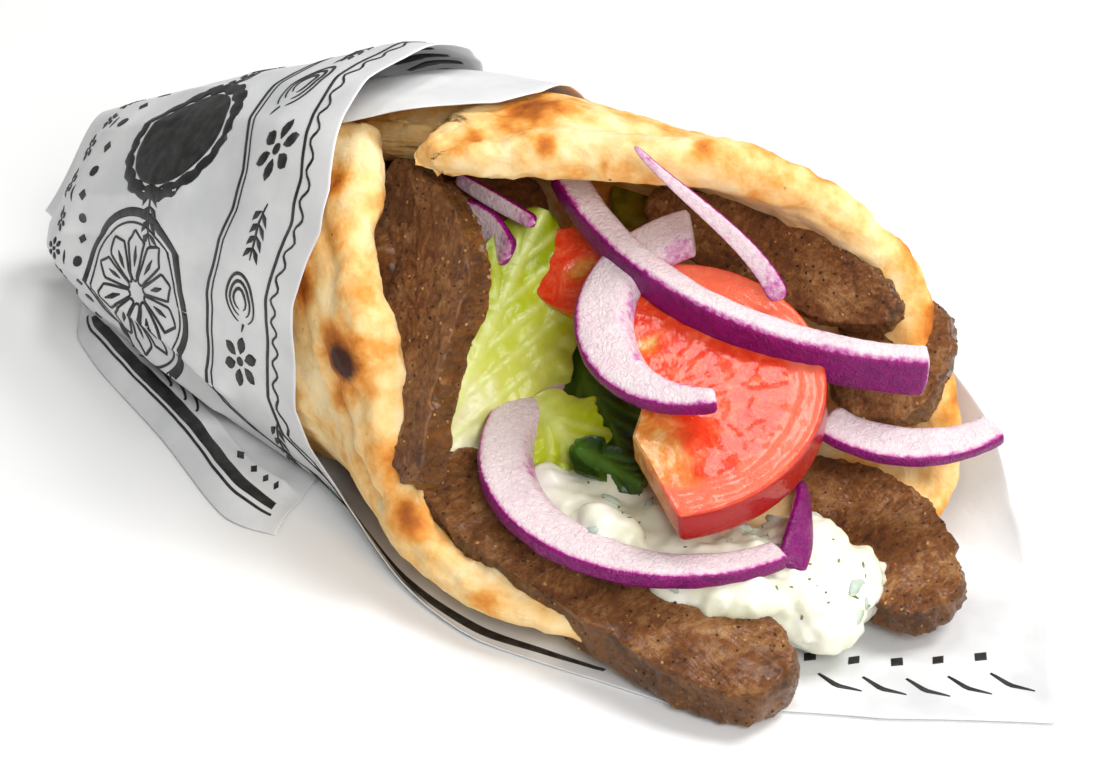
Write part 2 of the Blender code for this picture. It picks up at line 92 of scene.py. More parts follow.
def curve_at(x, knots):
    """Smooth value at x through the knots, without overshoot."""
    kx, ky = np.array(knots, float).T
    step = np.diff(kx)
    slope = np.diff(ky) / step
    turn = slope[:-1] * slope[1:]
    total = slope[:-1] + slope[1:]
    inner = np.where(turn > 0, 2 * turn / np.where(total == 0, 1, total), 0.0)
    m = np.concatenate((slope[:1], inner, slope[-1:]))
    x = np.clip(x, kx[0], kx[-1])
    i = np.clip(np.searchsorted(kx, x, side="right") - 1, 0, len(step) - 1)
    t = (x - kx[i]) / step[i]
    return ((2 * t ** 3 - 3 * t ** 2 + 1) * ky[i] + (t ** 3 - 2 * t ** 2 + t) * step[i] * m[i]
        + (3 * t ** 2 - 2 * t ** 3) * ky[i + 1] + (t ** 3 - t ** 2) * step[i] * m[i + 1])


def line_at(x, knots):
    kx, ky = np.array(knots, float).T
    return np.interp(x, kx, ky)


DICE = np.random.default_rng(11)
ORDER = DICE.permutation(256)
SLOPES = DICE.normal(size=(256, 3))
SLOPES /= np.linalg.norm(SLOPES, axis=1)[:, None]


def grain(points, size, seed=0, octaves=3):
    """Smooth noise, about -1 to 1, whose largest lumps are size millimetres apart."""
    p = np.asarray(points, float) / size + seed * 17.31
    total, height = 0.0, 1.0
    for _ in range(octaves):
        cell = np.floor(p).astype(int)
        f = p - cell
        w = f ** 3 * (f * (f * 6 - 15) + 10)
        value = 0.0
        for corner in np.ndindex(2, 2, 2):
            c = np.array(corner)
            k = 0
            for axis in range(3):
                k = ORDER[(k + cell[..., axis] + c[axis]) & 255]
            share = np.prod(np.where(c, w, 1 - w), axis=-1)
            value = value + share * ((f - c) * SLOPES[k]).sum(-1)
        total = total + height * value * 1.7
        height *= 0.5
        p = p * 2.03 + 5.2
    return total


def near_line(points, line):
    """Distance in millimetres from each point to a polyline."""
    best = np.full(points.shape[:-1], 1e9)
    line = np.array(line, float)
    for a, b in zip(line, line[1:]):
        ab = b - a
        t = np.clip(((points - a) @ ab) / (ab @ ab), 0, 1)
        best = np.minimum(best, np.linalg.norm(points - a - t[..., None] * ab, axis=-1))
    return best


def bump(distance, radius):
    return np.exp(-(distance / radius) ** 2)


def unit(v):
    return v / np.maximum(np.linalg.norm(v, axis=-1), 1e-12)[..., None]


def boxy(v, exponent):
    return np.sign(v) * np.abs(v) ** exponent


def rounded(t):
    """Quarter circle: 0 at 0, 1 from 1 on."""
    return np.sqrt(1 - (1 - np.clip(t, 0.0, 1.0)) ** 2)


def thirds(t, values):
    """Smooth value at t through three values, at 0, 0.5 and 1."""
    return curve_at(t, tuple(zip((0, 0.5, 1), values)))


# ---- the roll's surfaces ----
def roll(theta, x, grow, pinch=1.0, ease=1.0):
    """Points on the roll: theta 0 below, 90 far side, 180 top, -90 near side."""
    theta, x = np.broadcast_arrays(np.asarray(theta, float), np.asarray(x, float))
    a = curve_at(x, HALF_W) * pinch + 1.0 * (1 - pinch) + grow
    mid = 0.5 * curve_at(x, ROLL_TOP)
    s, c = np.sin(np.radians(theta)), np.cos(np.radians(theta))
    low_near = np.where(s < 0, 1.0, 0.0)
    n = 2.3 + 1.9 * ramp((c + 0.1) / 0.9) * ramp((x + 125) / 90)
    n = n + low_near * 2.6 * ramp((c + 0.1) / 0.9) * ramp((x + 20) / 35)
    a = a + low_near * curve_at(x, NEAR_BULGE) * ramp((c + 0.2) / 0.8)
    rho = (np.abs(s) ** n + np.abs(c) ** n) ** (-1.0 / n)
    z = mid - rho * c * (mid + grow + 3.0 * ramp(c))
    bed = BED - grow + 1.5 * ramp((-22 - x) / 35)
    blend = np.maximum(ease - np.abs(z - bed), 0.0)
    z = np.maximum(z, bed) + blend * blend / (4 * ease)
    return np.stack((x, curve_at(x, MIDDLE_Y) + rho * s * a, z), -1)


def tail_x(theta):
    return TAIL_X - TAIL_BOW * (1 - np.abs(np.cos(np.radians(theta))))


def paper_base(theta, x):
    loose = 1.8 + 4.6 * ramp((x + 125) / 95)
    lift = loose * ramp((-theta - 100) / 65) * (1 - 0.8 * ramp((-theta - 180) / 36))
    lift = lift + 1.3 * ramp((-theta - 60) / 60)
    pinch = ramp((x - tail_x(theta) + 1.0) / 24) ** 0.8
    return roll(theta, x, PAPER_GAP + PAPER_SOLID / 2 + lift, pinch)


def across(fn, theta, x, dt=0.4, dx=0.3):
    """Outward unit normals of a surface given by angle and length."""
    a = fn(theta + dt, x) - fn(theta - dt, x)
    b = fn(theta, x + dx) - fn(theta, x - dx)
    return unit(np.cross(a, b))


PAPER_FOLDS = (
    # a sharp fold as (angle, x) points, its height in mm and its width in mm
    (((-96, -137), (-84, -104), (-72, -78), (-62, -52)), 2.2, 3.2),
    (((-112, -134), (-120, -112), (-124, -92), (-128, -66)), 1.4, 3.4),
    (((-78, -134), (-66, -112), (-58, -92)), -2.0, 3.0),
    (((-140, -130), (-150, -108), (-152, -84)), 1.2, 4.0),
    (((-100, -112), (-108, -86), (-104, -60)), -1.2, 4.0),
    (((-62, -112), (-55, -80), (-52, -58)), 1.4, 3.0),
    (((150, -134), (140, -108), (130, -80)), 1.5, 3.5),
    (((90, -136), (84, -110), (96, -84), (92, -60)), 1.8, 3.5),
    (((115, -110), (110, -80), (118, -50)), -1.4, 4.0),
    (((60, -134), (52, -104), (60, -76)), 1.2, 3.5),
    (((-168, -120), (-172, -92), (-166, -66)), 1.0, 3.5),
)
FOLD_LINES = [(paper_base(*np.array(fold, float).T), height, width)
              for fold, height, width in PAPER_FOLDS]


def paper_surface(theta, x):
    """The paper's middle surface with its folds and soft dents."""
    base = paper_base(theta, x)
    out = across(paper_base, theta, x)
    free = ramp((x - tail_x(theta) - 2) / 14)
    cone = ramp((-8 - x) / 24) * free
    relief = 0.55 * grain(base * (0.7, 1, 1), 22, 3, 2) * free
    relief = relief - 1.1 * np.abs(grain(base * (0.45, 1, 1), 26, 5, 2)) * cone
    relief = relief + 0.07 * grain(base, 4.5, 9, 2) * free
    for line, height, width in FOLD_LINES:
        d = near_line(base, line)
        relief = relief + height * np.exp(-d / width) * free
    below = ramp((base[..., 2] - 1.0) / 5)
    flat = 0.25 * ramp(-grain(base, 40, 2, 1))
    return base + out * (relief * below)[..., None] + np.stack((0 * x, 0 * x, flat * (1 - below)),
        -1)


# ---- meshes ----
def corners(verts, faces):
    """The faces as triangles, and the points at their three corners."""
    tri = np.concatenate((faces[:, :3], faces[faces[:, 2] != faces[:, 3]][:, (0, 2, 3)]))
    return tri, verts[tri[:, 0]], verts[tri[:, 1]], verts[tri[:, 2]]


def raised(verts, faces, relief):
    """The points moved outward, each by its own relief in mm."""
    tri, a, b, c = corners(verts, faces)
    n = np.cross(b - a, c - a)
    total = np.zeros_like(verts)
    for k in range(3):
        np.add.at(total, tri[:, k], n)
    return verts + unit(total) * relief[:, None]


def outward(verts, faces):
    """The same faces, turned so that the closed body's volume is positive."""
    _, a, b, c = corners(verts, faces)
    if np.einsum("ij,ij->", a, np.cross(b, c)) > 0:
        return faces
    return np.where(faces[:, 2:3] == faces[:, 3:4], faces[:, (1, 0, 2, 2)], faces[:, ::-1])


def grid_faces(index):
    return np.stack((index[:-1, :-1], index[1:, :-1], index[1:, 1:], index[:-1, 1:]),
        -1).reshape(-1, 4)


def sheet(middle, normal, thick):
    """Closed body round a grid of middle points, thinned to nothing along its edge.

    Returns vertices, faces and the (row, column) of each vertex and its side, 1 or -1.
    """
    grid = middle.shape[:2]
    top = np.arange(grid[0] * grid[1]).reshape(grid)
    inner = np.zeros(grid, bool)
    inner[1:-1, 1:-1] = True
    low = top.copy()
    low[inner] = top.size + np.arange(inner.sum())
    lift = normal * np.where(inner, thick / 2, 0.0)[..., None]
    verts = np.concatenate(((middle + lift).reshape(-1, 3), (middle - lift)[inner]))
    faces = np.concatenate((grid_faces(top), grid_faces(low)[:, ::-1]))
    i, j = (np.concatenate((k.reshape(-1), k[inner])) for k in np.indices(grid))
    side = np.where(np.arange(len(i)) < top.size, 1, -1)
    return verts, outward(verts, faces), (i, j), side


def closed(rows, poles):
    """Closed body through rings of points, with a fan at either pole."""
    count, around = rows.shape[:2]
    index = np.arange(count * around).reshape(count, around)
    verts = np.concatenate((rows.reshape(-1, 3), poles))
    faces = [grid_faces(np.concatenate((index, index[:, :1]), axis=1))]
    for ring, pole in ((index[0], index.size), (index[-1][::-1], index.size + 1)):
        following = np.roll(ring, -1)
        faces.append(np.stack((np.full(around, pole), ring, following, following), -1))
    return verts, outward(verts, np.concatenate(faces))


def tube(rings):
    return closed(rings, np.stack((rings[0].mean(0), rings[-1].mean(0))))


def with_poles(values, shape, pole):
    """A value for each point of a closed body's rings and of its two poles."""
    return np.append(np.broadcast_to(values, shape), (pole, pole))


def ball(lat, lon):
    """Rings of a unit ball, without its poles."""
    phi = np.linspace(0, math.pi, lat + 2)[1:-1][:, None]
    lam = np.arange(lon)[None] * 2 * math.pi / lon
    return np.stack((np.sin(phi) * np.cos(lam), np.sin(phi) * np.sin(lam), np.cos(phi) + 0 * lam),
        -1)


def joined(bodies):
    """Several bodies as one set of vertices and faces."""
    verts, faces = zip(*bodies)
    first = np.cumsum([0] + [len(v) for v in verts])
    return np.concatenate(verts), np.concatenate([f + k for f, k in zip(faces, first)])


def stand(name, data):
    obj = bpy.data.objects.new(name, data)
    bpy.context.scene.collection.objects.link(obj)
    return obj


def bare(name, points, faces):
    """Smooth object with these points, in metres."""
    mesh = bpy.data.meshes.new(name)
    mesh.from_pydata(points.tolist(), [], [f[:3] if f[2] == f[3] else f for f in faces.tolist()])
    mesh.shade_smooth()
    return stand(name, mesh)


def mark(mesh, name, values):
    layer = mesh.attributes.new(name, "FLOAT", "POINT")
    layer.data.foreach_set("value", np.asarray(values, np.float32))


def piece(name, verts, faces, material, slot, nodes=(), **marks):
    """Makes the object from millimetres, with its point values and body; slot is not used."""
    obj = bare(name, (verts + SHIFT) * MM, faces)
    for key, values in marks.items():
        mark(obj.data, key, values)
    obj.data.materials.append(material)
    finish(obj, nodes)
    return obj


def finish(obj, nodes=()):
    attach(obj, "root")
    if nodes:
        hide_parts(*nodes)


def evaluated(obj):
    """New mesh of the object with its modifiers."""
    graph = bpy.context.evaluated_depsgraph_get()
    return bpy.data.meshes.new_from_object(obj.evaluated_get(graph))


def places(mesh):
    """Points and outward directions of a mesh, in millimetres of the roll's axes."""
    both = []
    for key in ("co", "normal"):
        values = np.zeros(len(mesh.vertices) * 3, np.float32)
        mesh.vertices.foreach_get(key, values)
        both.append(values.reshape(-1, 3))
    return both[0] / MM - SHIFT, both[1]


def facing(az, el, spin=0.0):
    """Axes of a flat piece whose face looks toward azimuth az and height el."""
    az, el, spin = math.radians(az), math.radians(el), math.radians(spin)
    n = np.array((math.sin(az) * math.cos(el), -math.cos(az) * math.cos(el), math.sin(el)))
    u = np.array((math.cos(az), math.sin(az), 0.0))
    v = np.cross(n, u)
    return (math.cos(spin) * u + math.sin(spin) * v, -math.sin(spin) * u + math.cos(spin) * v, n)


def placed(centre, axes, *lengths):
    """Points so many millimetres from the centre along each axis."""
    return sum((axis * far[..., None] for axis, far in zip(axes, lengths)), np.array(centre, float))


def slice_body(centre, face, size, edge, power=2.4, square=2.0, outline=(), chord=(), around=220,
        rings=56):
    """Slice with a rounded outline, from the middle of its face round to its back.

    edge is how far its rounded rim reaches in, square how boxy that rim is, outline some
    (angle, radius factor) knots and chord some (angle, share of the radius kept) cuts.
    Returns vertices, faces and how much of the rim each point is on.
    """
    length, width, thick = size
    t = np.radians(np.arange(around) * 360.0 / around)
    p0, q0 = boxy(np.cos(t), 2 / power), boxy(np.sin(t), 2 / power)
    if outline:
        (first, low), (last, high) = outline[0], outline[-1]
        knots = ((last - 360, high), *outline, (first + 360, low))
        p0, q0 = np.array((p0, q0)) * curve_at(np.degrees(t), knots)
    share = edge / (0.25 * (length + width))
    flat = np.linspace(0, 1 - share, rings // 2)[1:]
    phi = np.radians(np.linspace(0, 180, rings // 2 + 1))[1:-1]
    out = 1 - share + share * boxy(np.sin(phi), 2 / square)
    r = np.concatenate((flat, out, flat[::-1]))[:, None]
    h = np.concatenate((flat * 0 + 1, boxy(np.cos(phi), 2 / square), flat * 0 - 1))[:, None]
    rim = np.concatenate((flat * 0, np.sin(phi), flat * 0))
    radius = np.repeat(r, around, axis=1)
    for angle, keep in chord:
        toward = np.cos(t - math.radians(angle))
        reach = keep / np.maximum(toward, 1e-3)
        radius = np.where((toward > 0) & (reach < 1), radius * reach, radius)
    axes = facing(*face)
    rows = placed(centre, axes, radius * p0 * length / 2, radius * q0 * width / 2,
        h * thick / 2 + 0 * radius)
    poles = np.array(centre, float) + np.outer((1, -1), axes[2] * thick / 2)
    return *closed(rows, poles), with_poles(rim[:, None], radius.shape, 0)


# ---- materials ----
GLOW = ("Subsurface_Weight", "Subsurface_Radius", "Subsurface_Scale")
COLOURS = {"data_type": "RGBA"}
TIMES, TIMES_PLUS = {"operation": "MULTIPLY"}, {"operation": "MULTIPLY_ADD"}


def colour(code):
    """Linear colour of an sRGB hex value."""
    values = [int(code[k:k + 2], 16) / 255 for k in (1, 3, 5)]
    return (*[c / 12.92 if c <= 0.04045 else ((c + 0.055) / 1.055) ** 2.4 for c in values], 1.0)


def add(tree, kind, *values, stops=(), out=None, **named):
    """Adds a node, or takes one that is there, and returns one of its outputs.

    The values go to its working inputs in order.  A name with a capital is an input too,
    any other name a setting.  A value is a number, a colour or another node's output.
    """
    node = kind
    if isinstance(kind, str):
        node = tree.nodes.new(kind if "Node" in kind else "ShaderNode" + kind)
    for key in filter(str.islower, named):
        setattr(node, key, named[key])
    while stops and len(node.color_ramp.elements) < len(stops):
        node.color_ramp.elements.new(0.5)
    for k, (position, code) in enumerate(stops):
        node.color_ramp.elements[k].position = position
        node.color_ramp.elements[k].color = colour(code)
    given = list(zip([socket for socket in node.inputs if socket.enabled], values))
    given += [(node.inputs[key.replace("_", " ")], value) for key, value in named.items()
        if not key.islower()]
    for socket, value in given:
        if isinstance(value, bpy.types.NodeSocket):
            tree.links.new(value, socket)
        else:
            socket.default_value = colour(value) if str(value)[0] == "#" else value
    if out:
        return node.outputs[out]
    return next((socket for socket in node.outputs if socket.enabled), None)


def finish_material(name, roughness, ior=1.45, marks=(), glow=(), **even):
    """Material with even values, the adder of its nodes, its shader and the place on a piece.

    marks are point values it reads, which come last; glow is how it scatters light inside.
    """
    mat = bpy.data.materials.new(name)
    mat.use_nodes = True
    make = functools.partial(add, mat.node_tree)
    shader = mat.node_tree.nodes["Principled BSDF"]
    even.update(zip(GLOW, glow), Roughness=roughness, IOR=ior)
    make(shader, **even)
    read = [make("Attribute", attribute_name=mark, out="Fac") for mark in marks]
    return mat, make, shader, make("TexCoord", out="Object"), *read


def plain_finish(name, roughness, ior, size, detail, stops, relief=None, **even):
    """One food or ink, its colour a little uneven; relief is a bump's scale, detail, strength
    and depth."""
    mat, make, shader, place = finish_material(name, roughness, ior, **even)
    tone = make("ValToRGB", make("TexNoise", place, PER_MM / size, detail), stops=stops)
    make(shader, Base_Color=tone)
    if relief:
        scale, detail, strength, depth = relief
        height = make("TexNoise", place, PER_MM / scale, detail)
        make(shader, Normal=make("Bump", strength, depth, Height=height))
    return mat


# Wrapping paper: thin bleached greaseproof paper, calendered, so it is smooth, slightly
# shiny and lets some light through.  Its fibres show as a faint cloudiness.
WRAP, make, shader, place, ghost = finish_material("greaseproof_paper", 0.42, 1.47, ("ghost",),
    glow=(0.12, (0.004, 0.004, 0.004), 0.3))
cloud = make("TexNoise", place, PER_MM / 14, 5.0)
fibre = make("TexNoise", place, PER_MM / 1.2, 3.0)
tone = make("ValToRGB", cloud, stops=((0.3, "#D6D7D8"), (0.7, "#EAEAE9")))
shade = make("Mix", ghost, tone, "#A9ABAE", **COLOURS)
make(shader, Base_Color=shade, Normal=make("Bump", 0.25, 0.00012, Height=fibre))

# Printing ink: black flexographic ink, thin and dry; it thins out here and there.
INK = plain_finish("black_flexo_ink", 0.5, 1.5, 2.5, 4.0, ((0.42, "#161514"), (0.78, "#3A3938")))

# Flatbread: baked wheat dough, matte and floury; toasted where it met the griddle.
# The toast mark also carries painted shade: bread deep inside the roll is made browner, standing in
# for the cavity's shade and bounced light.
BREAD, make, shader, place, toast, char = finish_material("baked_flatbread", 0.72, 1.42,
    ("toast", "char"), glow=(0.25, (0.006, 0.0035, 0.0015), 0.25))
mottle = make("TexNoise", place, PER_MM / 9, 6.0, 0.62)
centred = make("Math", mottle, 0.5, operation="SUBTRACT")
patchy = make("Math", centred, 1.1, toast, **TIMES_PLUS)
fine = make("TexNoise", place, PER_MM / 1.6, 4.0)
crust = make("ValToRGB", make("Math", fine, 0.16, patchy, **TIMES_PLUS),
    stops=((0.10, "#F7DCA8"), (0.32, "#F2C680"), (0.52, "#E49C44"), (0.72, "#C46F1A"),
    (1.0, "#864008")))
burnt = make("Math", centred, 0.9, char, **TIMES_PLUS)
skin = make("Mix", make("MapRange", burnt, 0.2, 0.6), crust, "#3B1A08", **COLOURS)
flecks = make("MapRange", make("TexVoronoi", place, PER_MM / 5.5), 0.075, 0.035)
some = make("MapRange", mottle, 0.5, 0.56)
flecks = make("Math", flecks, some, **TIMES)
pores = make("TexNoise", place, PER_MM / 0.9, 4.0)
blisters = make("TexNoise", place, PER_MM / 3.5, 3.0)
both = make("Math", pores, 0.5, blisters, **TIMES_PLUS)
make(shader, Base_Color=make("Mix", flecks, skin, "#8A4F1C", **COLOURS),
    Normal=make("Bump", 0.55, 0.0006, Height=both))

# Gyro meat: pressed minced lamb and beef, sliced and griddled; moist and granular, with a
# browned fatty rim that shines.
MEAT, make, shader, place, rim = finish_material("griddled_gyro_meat", 0.5, 1.45, ("rim",),
    (0.06, (0.002, 0.0008, 0.0004), 0.2), Coat_Weight=0.25, Coat_Roughness=0.2)
rim = make("MapRange", rim, 0.25, 0.8)
lie = make("Mapping", place, Scale=(1.0, 0.55, 1.0))
fibre = make("TexNoise", lie, PER_MM / 1.4, 8.0, 0.8, Distortion=0.5)
patch = make("TexNoise", place, PER_MM / 8, 4.0)
total = make("Math", patch, 0.55, fibre, **TIMES_PLUS)
face = make("ValToRGB", total, stops=((0.56, "#43200A"), (0.78, "#8E5422"), (0.98, "#C28E58")))
edge = make("ValToRGB", total, stops=((0.55, "#3A1C06"), (1.02, "#9A6022")))
tone = make("Mix", rim, face, edge, **COLOURS)
specks = make("MapRange", make("TexVoronoi", place, PER_MM / 2.4), 0.16, 0.08)
some = make("MapRange", patch, 0.45, 0.6)
specks = make("Math", specks, some, **TIMES)
tone = make("Mix", specks, tone, "#1E0E06", **COLOURS)
grains = make("TexVoronoi", place, PER_MM / 1.7)
pick = make("SeparateColor", grains.node.outputs["Color"])
fats = make("Math", make("MapRange", grains, 0.24, 0.14),
    make("MapRange", pick, 0.80, 0.92, 0.0, 0.45), **TIMES)
wet = make("MapRange", fibre, 0.35, 0.65, 0.55, 0.26)
make(shader, Base_Color=make("Mix", fats, tone, "#BC8A50", **COLOURS),
    Roughness=make("Math", rim, -0.15, wet, **TIMES_PLUS),
    Normal=make("Bump", 1.0, 0.0012, Height=fibre))

# Red onion: crisp watery flesh, glossy and translucent, with a thin purple skin.
ONION, make, shader, place, skin = finish_material("raw_red_onion", 0.22, 1.38, ("skin",),
    glow=(0.35, (0.003, 0.0022, 0.003), 0.35))
veins = make("TexNoise", place, PER_MM / 1.3, 4.0)
ragged = make("Math", veins, 0.5, skin, **TIMES_PLUS)
flesh = make("ValToRGB", ragged, stops=((0.14, "#E6DADB"), (0.42, "#DEC6CD"), (0.60, "#C470AA"),
    (0.68, "#A20E7A"), (1.0, "#7E0664")))
deep = make("TexNoise", place, PER_MM / 3.0, 5.0, 0.7)
share = make("Math", make("MapRange", deep, 0.45, 0.7, 0.0, 0.75),
    make("MapRange", ragged, 0.66, 0.8), **TIMES)
cells = make("TexNoise", place, PER_MM / 0.9, 3.0, Distortion=1.0)
make(shader, Base_Color=make("Mix", share, flesh, "#560646", **COLOURS),
    Normal=make("Bump", 0.8, 0.0007, Height=cells))

# Tomato: ripe flesh cut with a knife; wet and glossy, paler wall, amber gel, red skin.
TOMATO, make, shader, place, gel, skin, wall = finish_material("cut_tomato", 0.18, 1.37,
    ("gel", "skin", "wall"), (0.35, (0.006, 0.0015, 0.0008), 0.35), Coat_Weight=0.4,
    Coat_Roughness=0.06)
juice = make("TexNoise", place, PER_MM / 4.5, 6.0, 0.6, Distortion=1.4)
flesh = make("ValToRGB", juice, stops=((0.30, "#DC2C0E"), (0.52, "#EA4822"), (0.74, "#F4764C")))
amber = make("ValToRGB", juice, stops=((0.3, "#D66C26"), (0.5, "#DE9040"), (0.7, "#E8B878")))
tone = make("Mix", wall, flesh, "#F07E62", **COLOURS)
tone = make("Mix", gel, tone, amber, **COLOURS)
ripple = make("TexNoise", place, PER_MM / 1.1, 3.0, Distortion=1.2)
make(shader, Base_Color=make("Mix", skin, tone, "#A60C02", **COLOURS),
    Normal=make("Bump", 0.5, 0.0006, Height=ripple))


def leaf_finish(name, pale, mid, bright, deep, rib):
    """Lettuce: a thin waxy leaf, bright where it is puckered and pale along its ribs."""
    mat, make, shader, place, green, ribs = finish_material(name, 0.3, 1.42, ("green", "rib"),
        (0.25, (0.0015, 0.003, 0.0006), 0.3))
    patch = make("TexNoise", place, PER_MM / 9, 5.0, 0.6)
    blade = make("ValToRGB", make("Math", patch, 0.6, green, **TIMES_PLUS),
        stops=((0.25, pale), (0.5, mid), (0.85, bright), (1.0, deep)))
    ribs = make("Math", ribs, 0.65, **TIMES)
    pucker = make("TexNoise", place, PER_MM / 1.6, 3.0)
    make(shader, Base_Color=make("Mix", ribs, blade, rib, **COLOURS),
        Normal=make("Bump", 0.4, 0.0005, Height=pucker))
    return mat


LETTUCE = leaf_finish("romaine_leaf", "#EDE8CC", "#D2D660", "#B4C200", "#8E9E00", "#DDE48E")
DARK_LEAF = leaf_finish("dark_green_leaf", "#44660E", "#2F500A", "#1F3A06", "#112303", "#5F8A28")

# Pickled pepper: a dull olive green slice, translucent and wet.
PEPPER = plain_finish("pickled_pepper", 0.3, 1.38, 4, 4.0,
    ((0.35, "#5E5A0E"), (0.55, "#827614"), (0.75, "#A08420")), (4, 4.0, 0.4, 0.0005),
    Subsurface_Weight=0.2, Subsurface_Scale=0.2)

# Yogurt sauce: strained yogurt, thick and smooth, wet and slightly see-through.
YOGURT = plain_finish("yogurt_sauce", 0.24, 1.36, 9, 4.0,
    ((0.3, "#DCDEC0"), (0.5, "#EBEAD6"), (0.7, "#F6F4E8")), (1.5, 3.0, 0.2, 0.0004),
    glow=(0.5, (0.004, 0.0035, 0.0022), 0.4))

# Small bits: dill leaves, grated cucumber, cracked black pepper and rendered fat.
HERB, CUCUMBER, SPICE, FAT = (
    plain_finish(name, roughness, 1.4, size, 3.0, ((0.35, low), (0.65, high)),
                 Subsurface_Weight=glow, Subsurface_Scale=0.15)
    for name, low, high, size, roughness, glow in (
        ("chopped_dill", "#4A5E36", "#7C8C5C", 1.5, 0.5, 0.0),
        ("grated_cucumber", "#D5DDB4", "#EEF0D8", 3.0, 0.2, 0.4),
        ("cracked_pepper", "#1E120A", "#4A2C18", 1.0, 0.6, 0.0),
        ("rendered_fat", "#A06C38", "#C4935A", 1.0, 0.3, 0.2)))


# ---- sprinkled bits ----
def sprinkle_tree():
    """Geometry Nodes: sets one small shape all over a surface, turned and sized at random."""
    tree = bpy.data.node_groups.new("sprinkle", "GeometryNodeTree")
    tree.interface.new_socket("Geometry", in_out="OUTPUT", socket_type="NodeSocketGeometry")
    kinds = {"Geometry": "Geometry", "Bit": "Object", "Seed": "Int", "Material": "Material"}
    for name in (*kinds, "Spacing", "Per square metre", "Smallest", "Largest", "Lift"):
        tree.interface.new_socket(name, in_out="INPUT",
            socket_type="NodeSocket" + kinds.get(name, "Float"))
    make = functools.partial(add, tree)
    given = make("NodeGroupInput").node.outputs
    seed = given["Seed"]
    points = make("GeometryNodeDistributePointsOnFaces", given["Geometry"], Seed=seed,
        Distance_Min=given["Spacing"], Density_Max=given["Per square metre"],
        Density_Factor=make("GeometryNodeInputNamedAttribute", "sprinkle", data_type="FLOAT"),
        distribute_method="POISSON")
    spread = points.node.outputs
    lift = make("VectorMath", spread["Normal"], given["Lift"], operation="SCALE")
    spin = make("FunctionNodeRandomValue", (-0.35, -0.35, 0.0), (0.35, 0.35, 6.28), Seed=seed,
        data_type="FLOAT_VECTOR")
    turn = make("FunctionNodeRotateRotation", spread["Rotation"], spin, rotation_space="LOCAL")
    size = make("FunctionNodeRandomValue", given["Smallest"], given["Largest"], Seed=seed,
        data_type="FLOAT")
    bit = make("GeometryNodeObjectInfo", given["Bit"], out="Geometry")
    bits = make("GeometryNodeInstanceOnPoints", make("GeometryNodeSetPosition", points,
        Offset=lift), Instance=bit, Rotation=turn, Scale=size)
    real = make("GeometryNodeRealizeInstances", bits)
    make("NodeGroupOutput", make("GeometryNodeSetMaterial", real, Material=given["Material"]))
    return tree


def bit_shape(name, size, waist=0.0, seed=0):
    """One small lump of about forty faces, uneven, with its longest side along X."""
    ring = ball(5, 8)
    ring = ring * (1 + 0.25 * grain(ring, 0.9, seed, 1))[..., None] * (np.array(size) / 2)
    ring[..., 1] += waist * ring[..., 0] ** 2
    verts, faces = tube(ring)
    return bare(name, verts * MM, faces)


SPRINKLE = sprinkle_tree()


def sprinkle(name, carrier, share, bit, spacing, per_cm2, sizes, lift, seed, material):
    """Runs the tree over a copy of the carrier and keeps the result as one plain mesh."""
    host = stand(name + "_host", carrier.data.copy())
    mark(host.data, "sprinkle", share)
    mod = host.modifiers.new("sprinkle", "NODES")
    mod.node_group = SPRINKLE
    values = {"Bit": bit, "Spacing": spacing * MM, "Per square metre": per_cm2 * 1e4,
        "Smallest": sizes[0], "Largest": sizes[1], "Lift": lift * MM, "Seed": seed,
        "Material": material}
    for item in SPRINKLE.interface.items_tree:
        if item.in_out == "INPUT" and item.name in values:
            mod[item.identifier] = values[item.name]
    mesh = evaluated(host)
    mesh.name = name
    if mesh.materials.find(material.name) < 0:
        mesh.materials.append(material)
    if "sprinkle" in mesh.attributes:
        mesh.attributes.remove(mesh.attributes["sprinkle"])
    finish(stand(name, mesh))
    for gone in (host, bit):
        data = gone.data
        bpy.data.objects.remove(gone)
        bpy.data.meshes.remove(data)


# ---- camera, light and floor ----
AIM = (np.array((-20.0, 25.0, 0.0)) + SHIFT) * MM
LAMP_AIM = AIM * (1, 0, 0)
FLOOR_HALF, FLOOR_Z = 3.0, -0.0002
VIEW_TURN, VIEW_HEIGHT, VIEW_FAR, VIEW_LENS = 42, 32, 0.75, 112.9
WORLD_LIGHT = 0.28


def look(obj, at, turn, height, far):
    """Stands the object so many metres from a point and turns it to that point."""
    obj.location = at + facing(turn, height)[2] * far
    obj.rotation_euler = (math.pi / 2 - math.radians(height), 0, math.radians(turn))


camera = bpy.data.cameras.new("camera")
camera.lens = VIEW_LENS
camera.clip_start = 0.01
bpy.context.scene.camera = stand("camera", camera)
look(bpy.context.scene.camera, AIM, VIEW_TURN, VIEW_HEIGHT, VIEW_FAR)

world = bpy.data.worlds.new("studio")
bpy.context.scene.world = world
world.use_nodes = True
add(world.node_tree, world.node_tree.nodes["Background"], "#FFFFFF", WORLD_LIGHT)
bpy.context.scene.view_settings.view_transform = "Standard"

for name, turn, height, far, size, power in (("key", 136, 56, 1.1, 0.42, 7.5),
        ("top", 205, 76, 1.1, 0.3, 2.6), ("front", 62, 36, 1.2, 0.6, 9.5)):
    lamp = bpy.data.lights.new(name, "AREA")
    lamp.size = size
    lamp.energy = power
    look(stand(name, lamp), LAMP_AIM, turn, height, far)

table = bare("table", np.array([(x * FLOOR_HALF, y * FLOOR_HALF, FLOOR_Z)
                                for x, y in ((-1, -1), (1, -1), (1, 1), (-1, 1))]),
             np.array([(0, 1, 2, 3)]))
TABLE, make, shader, place = finish_material("pale_table_top", 0.85)
make(shader, Base_Color="#F4F4F3")
table.data.materials.append(TABLE)


# ---- paper ----
def grid_normals(points):
    return unit(np.cross(np.gradient(points, axis=0), np.gradient(points, axis=1)))


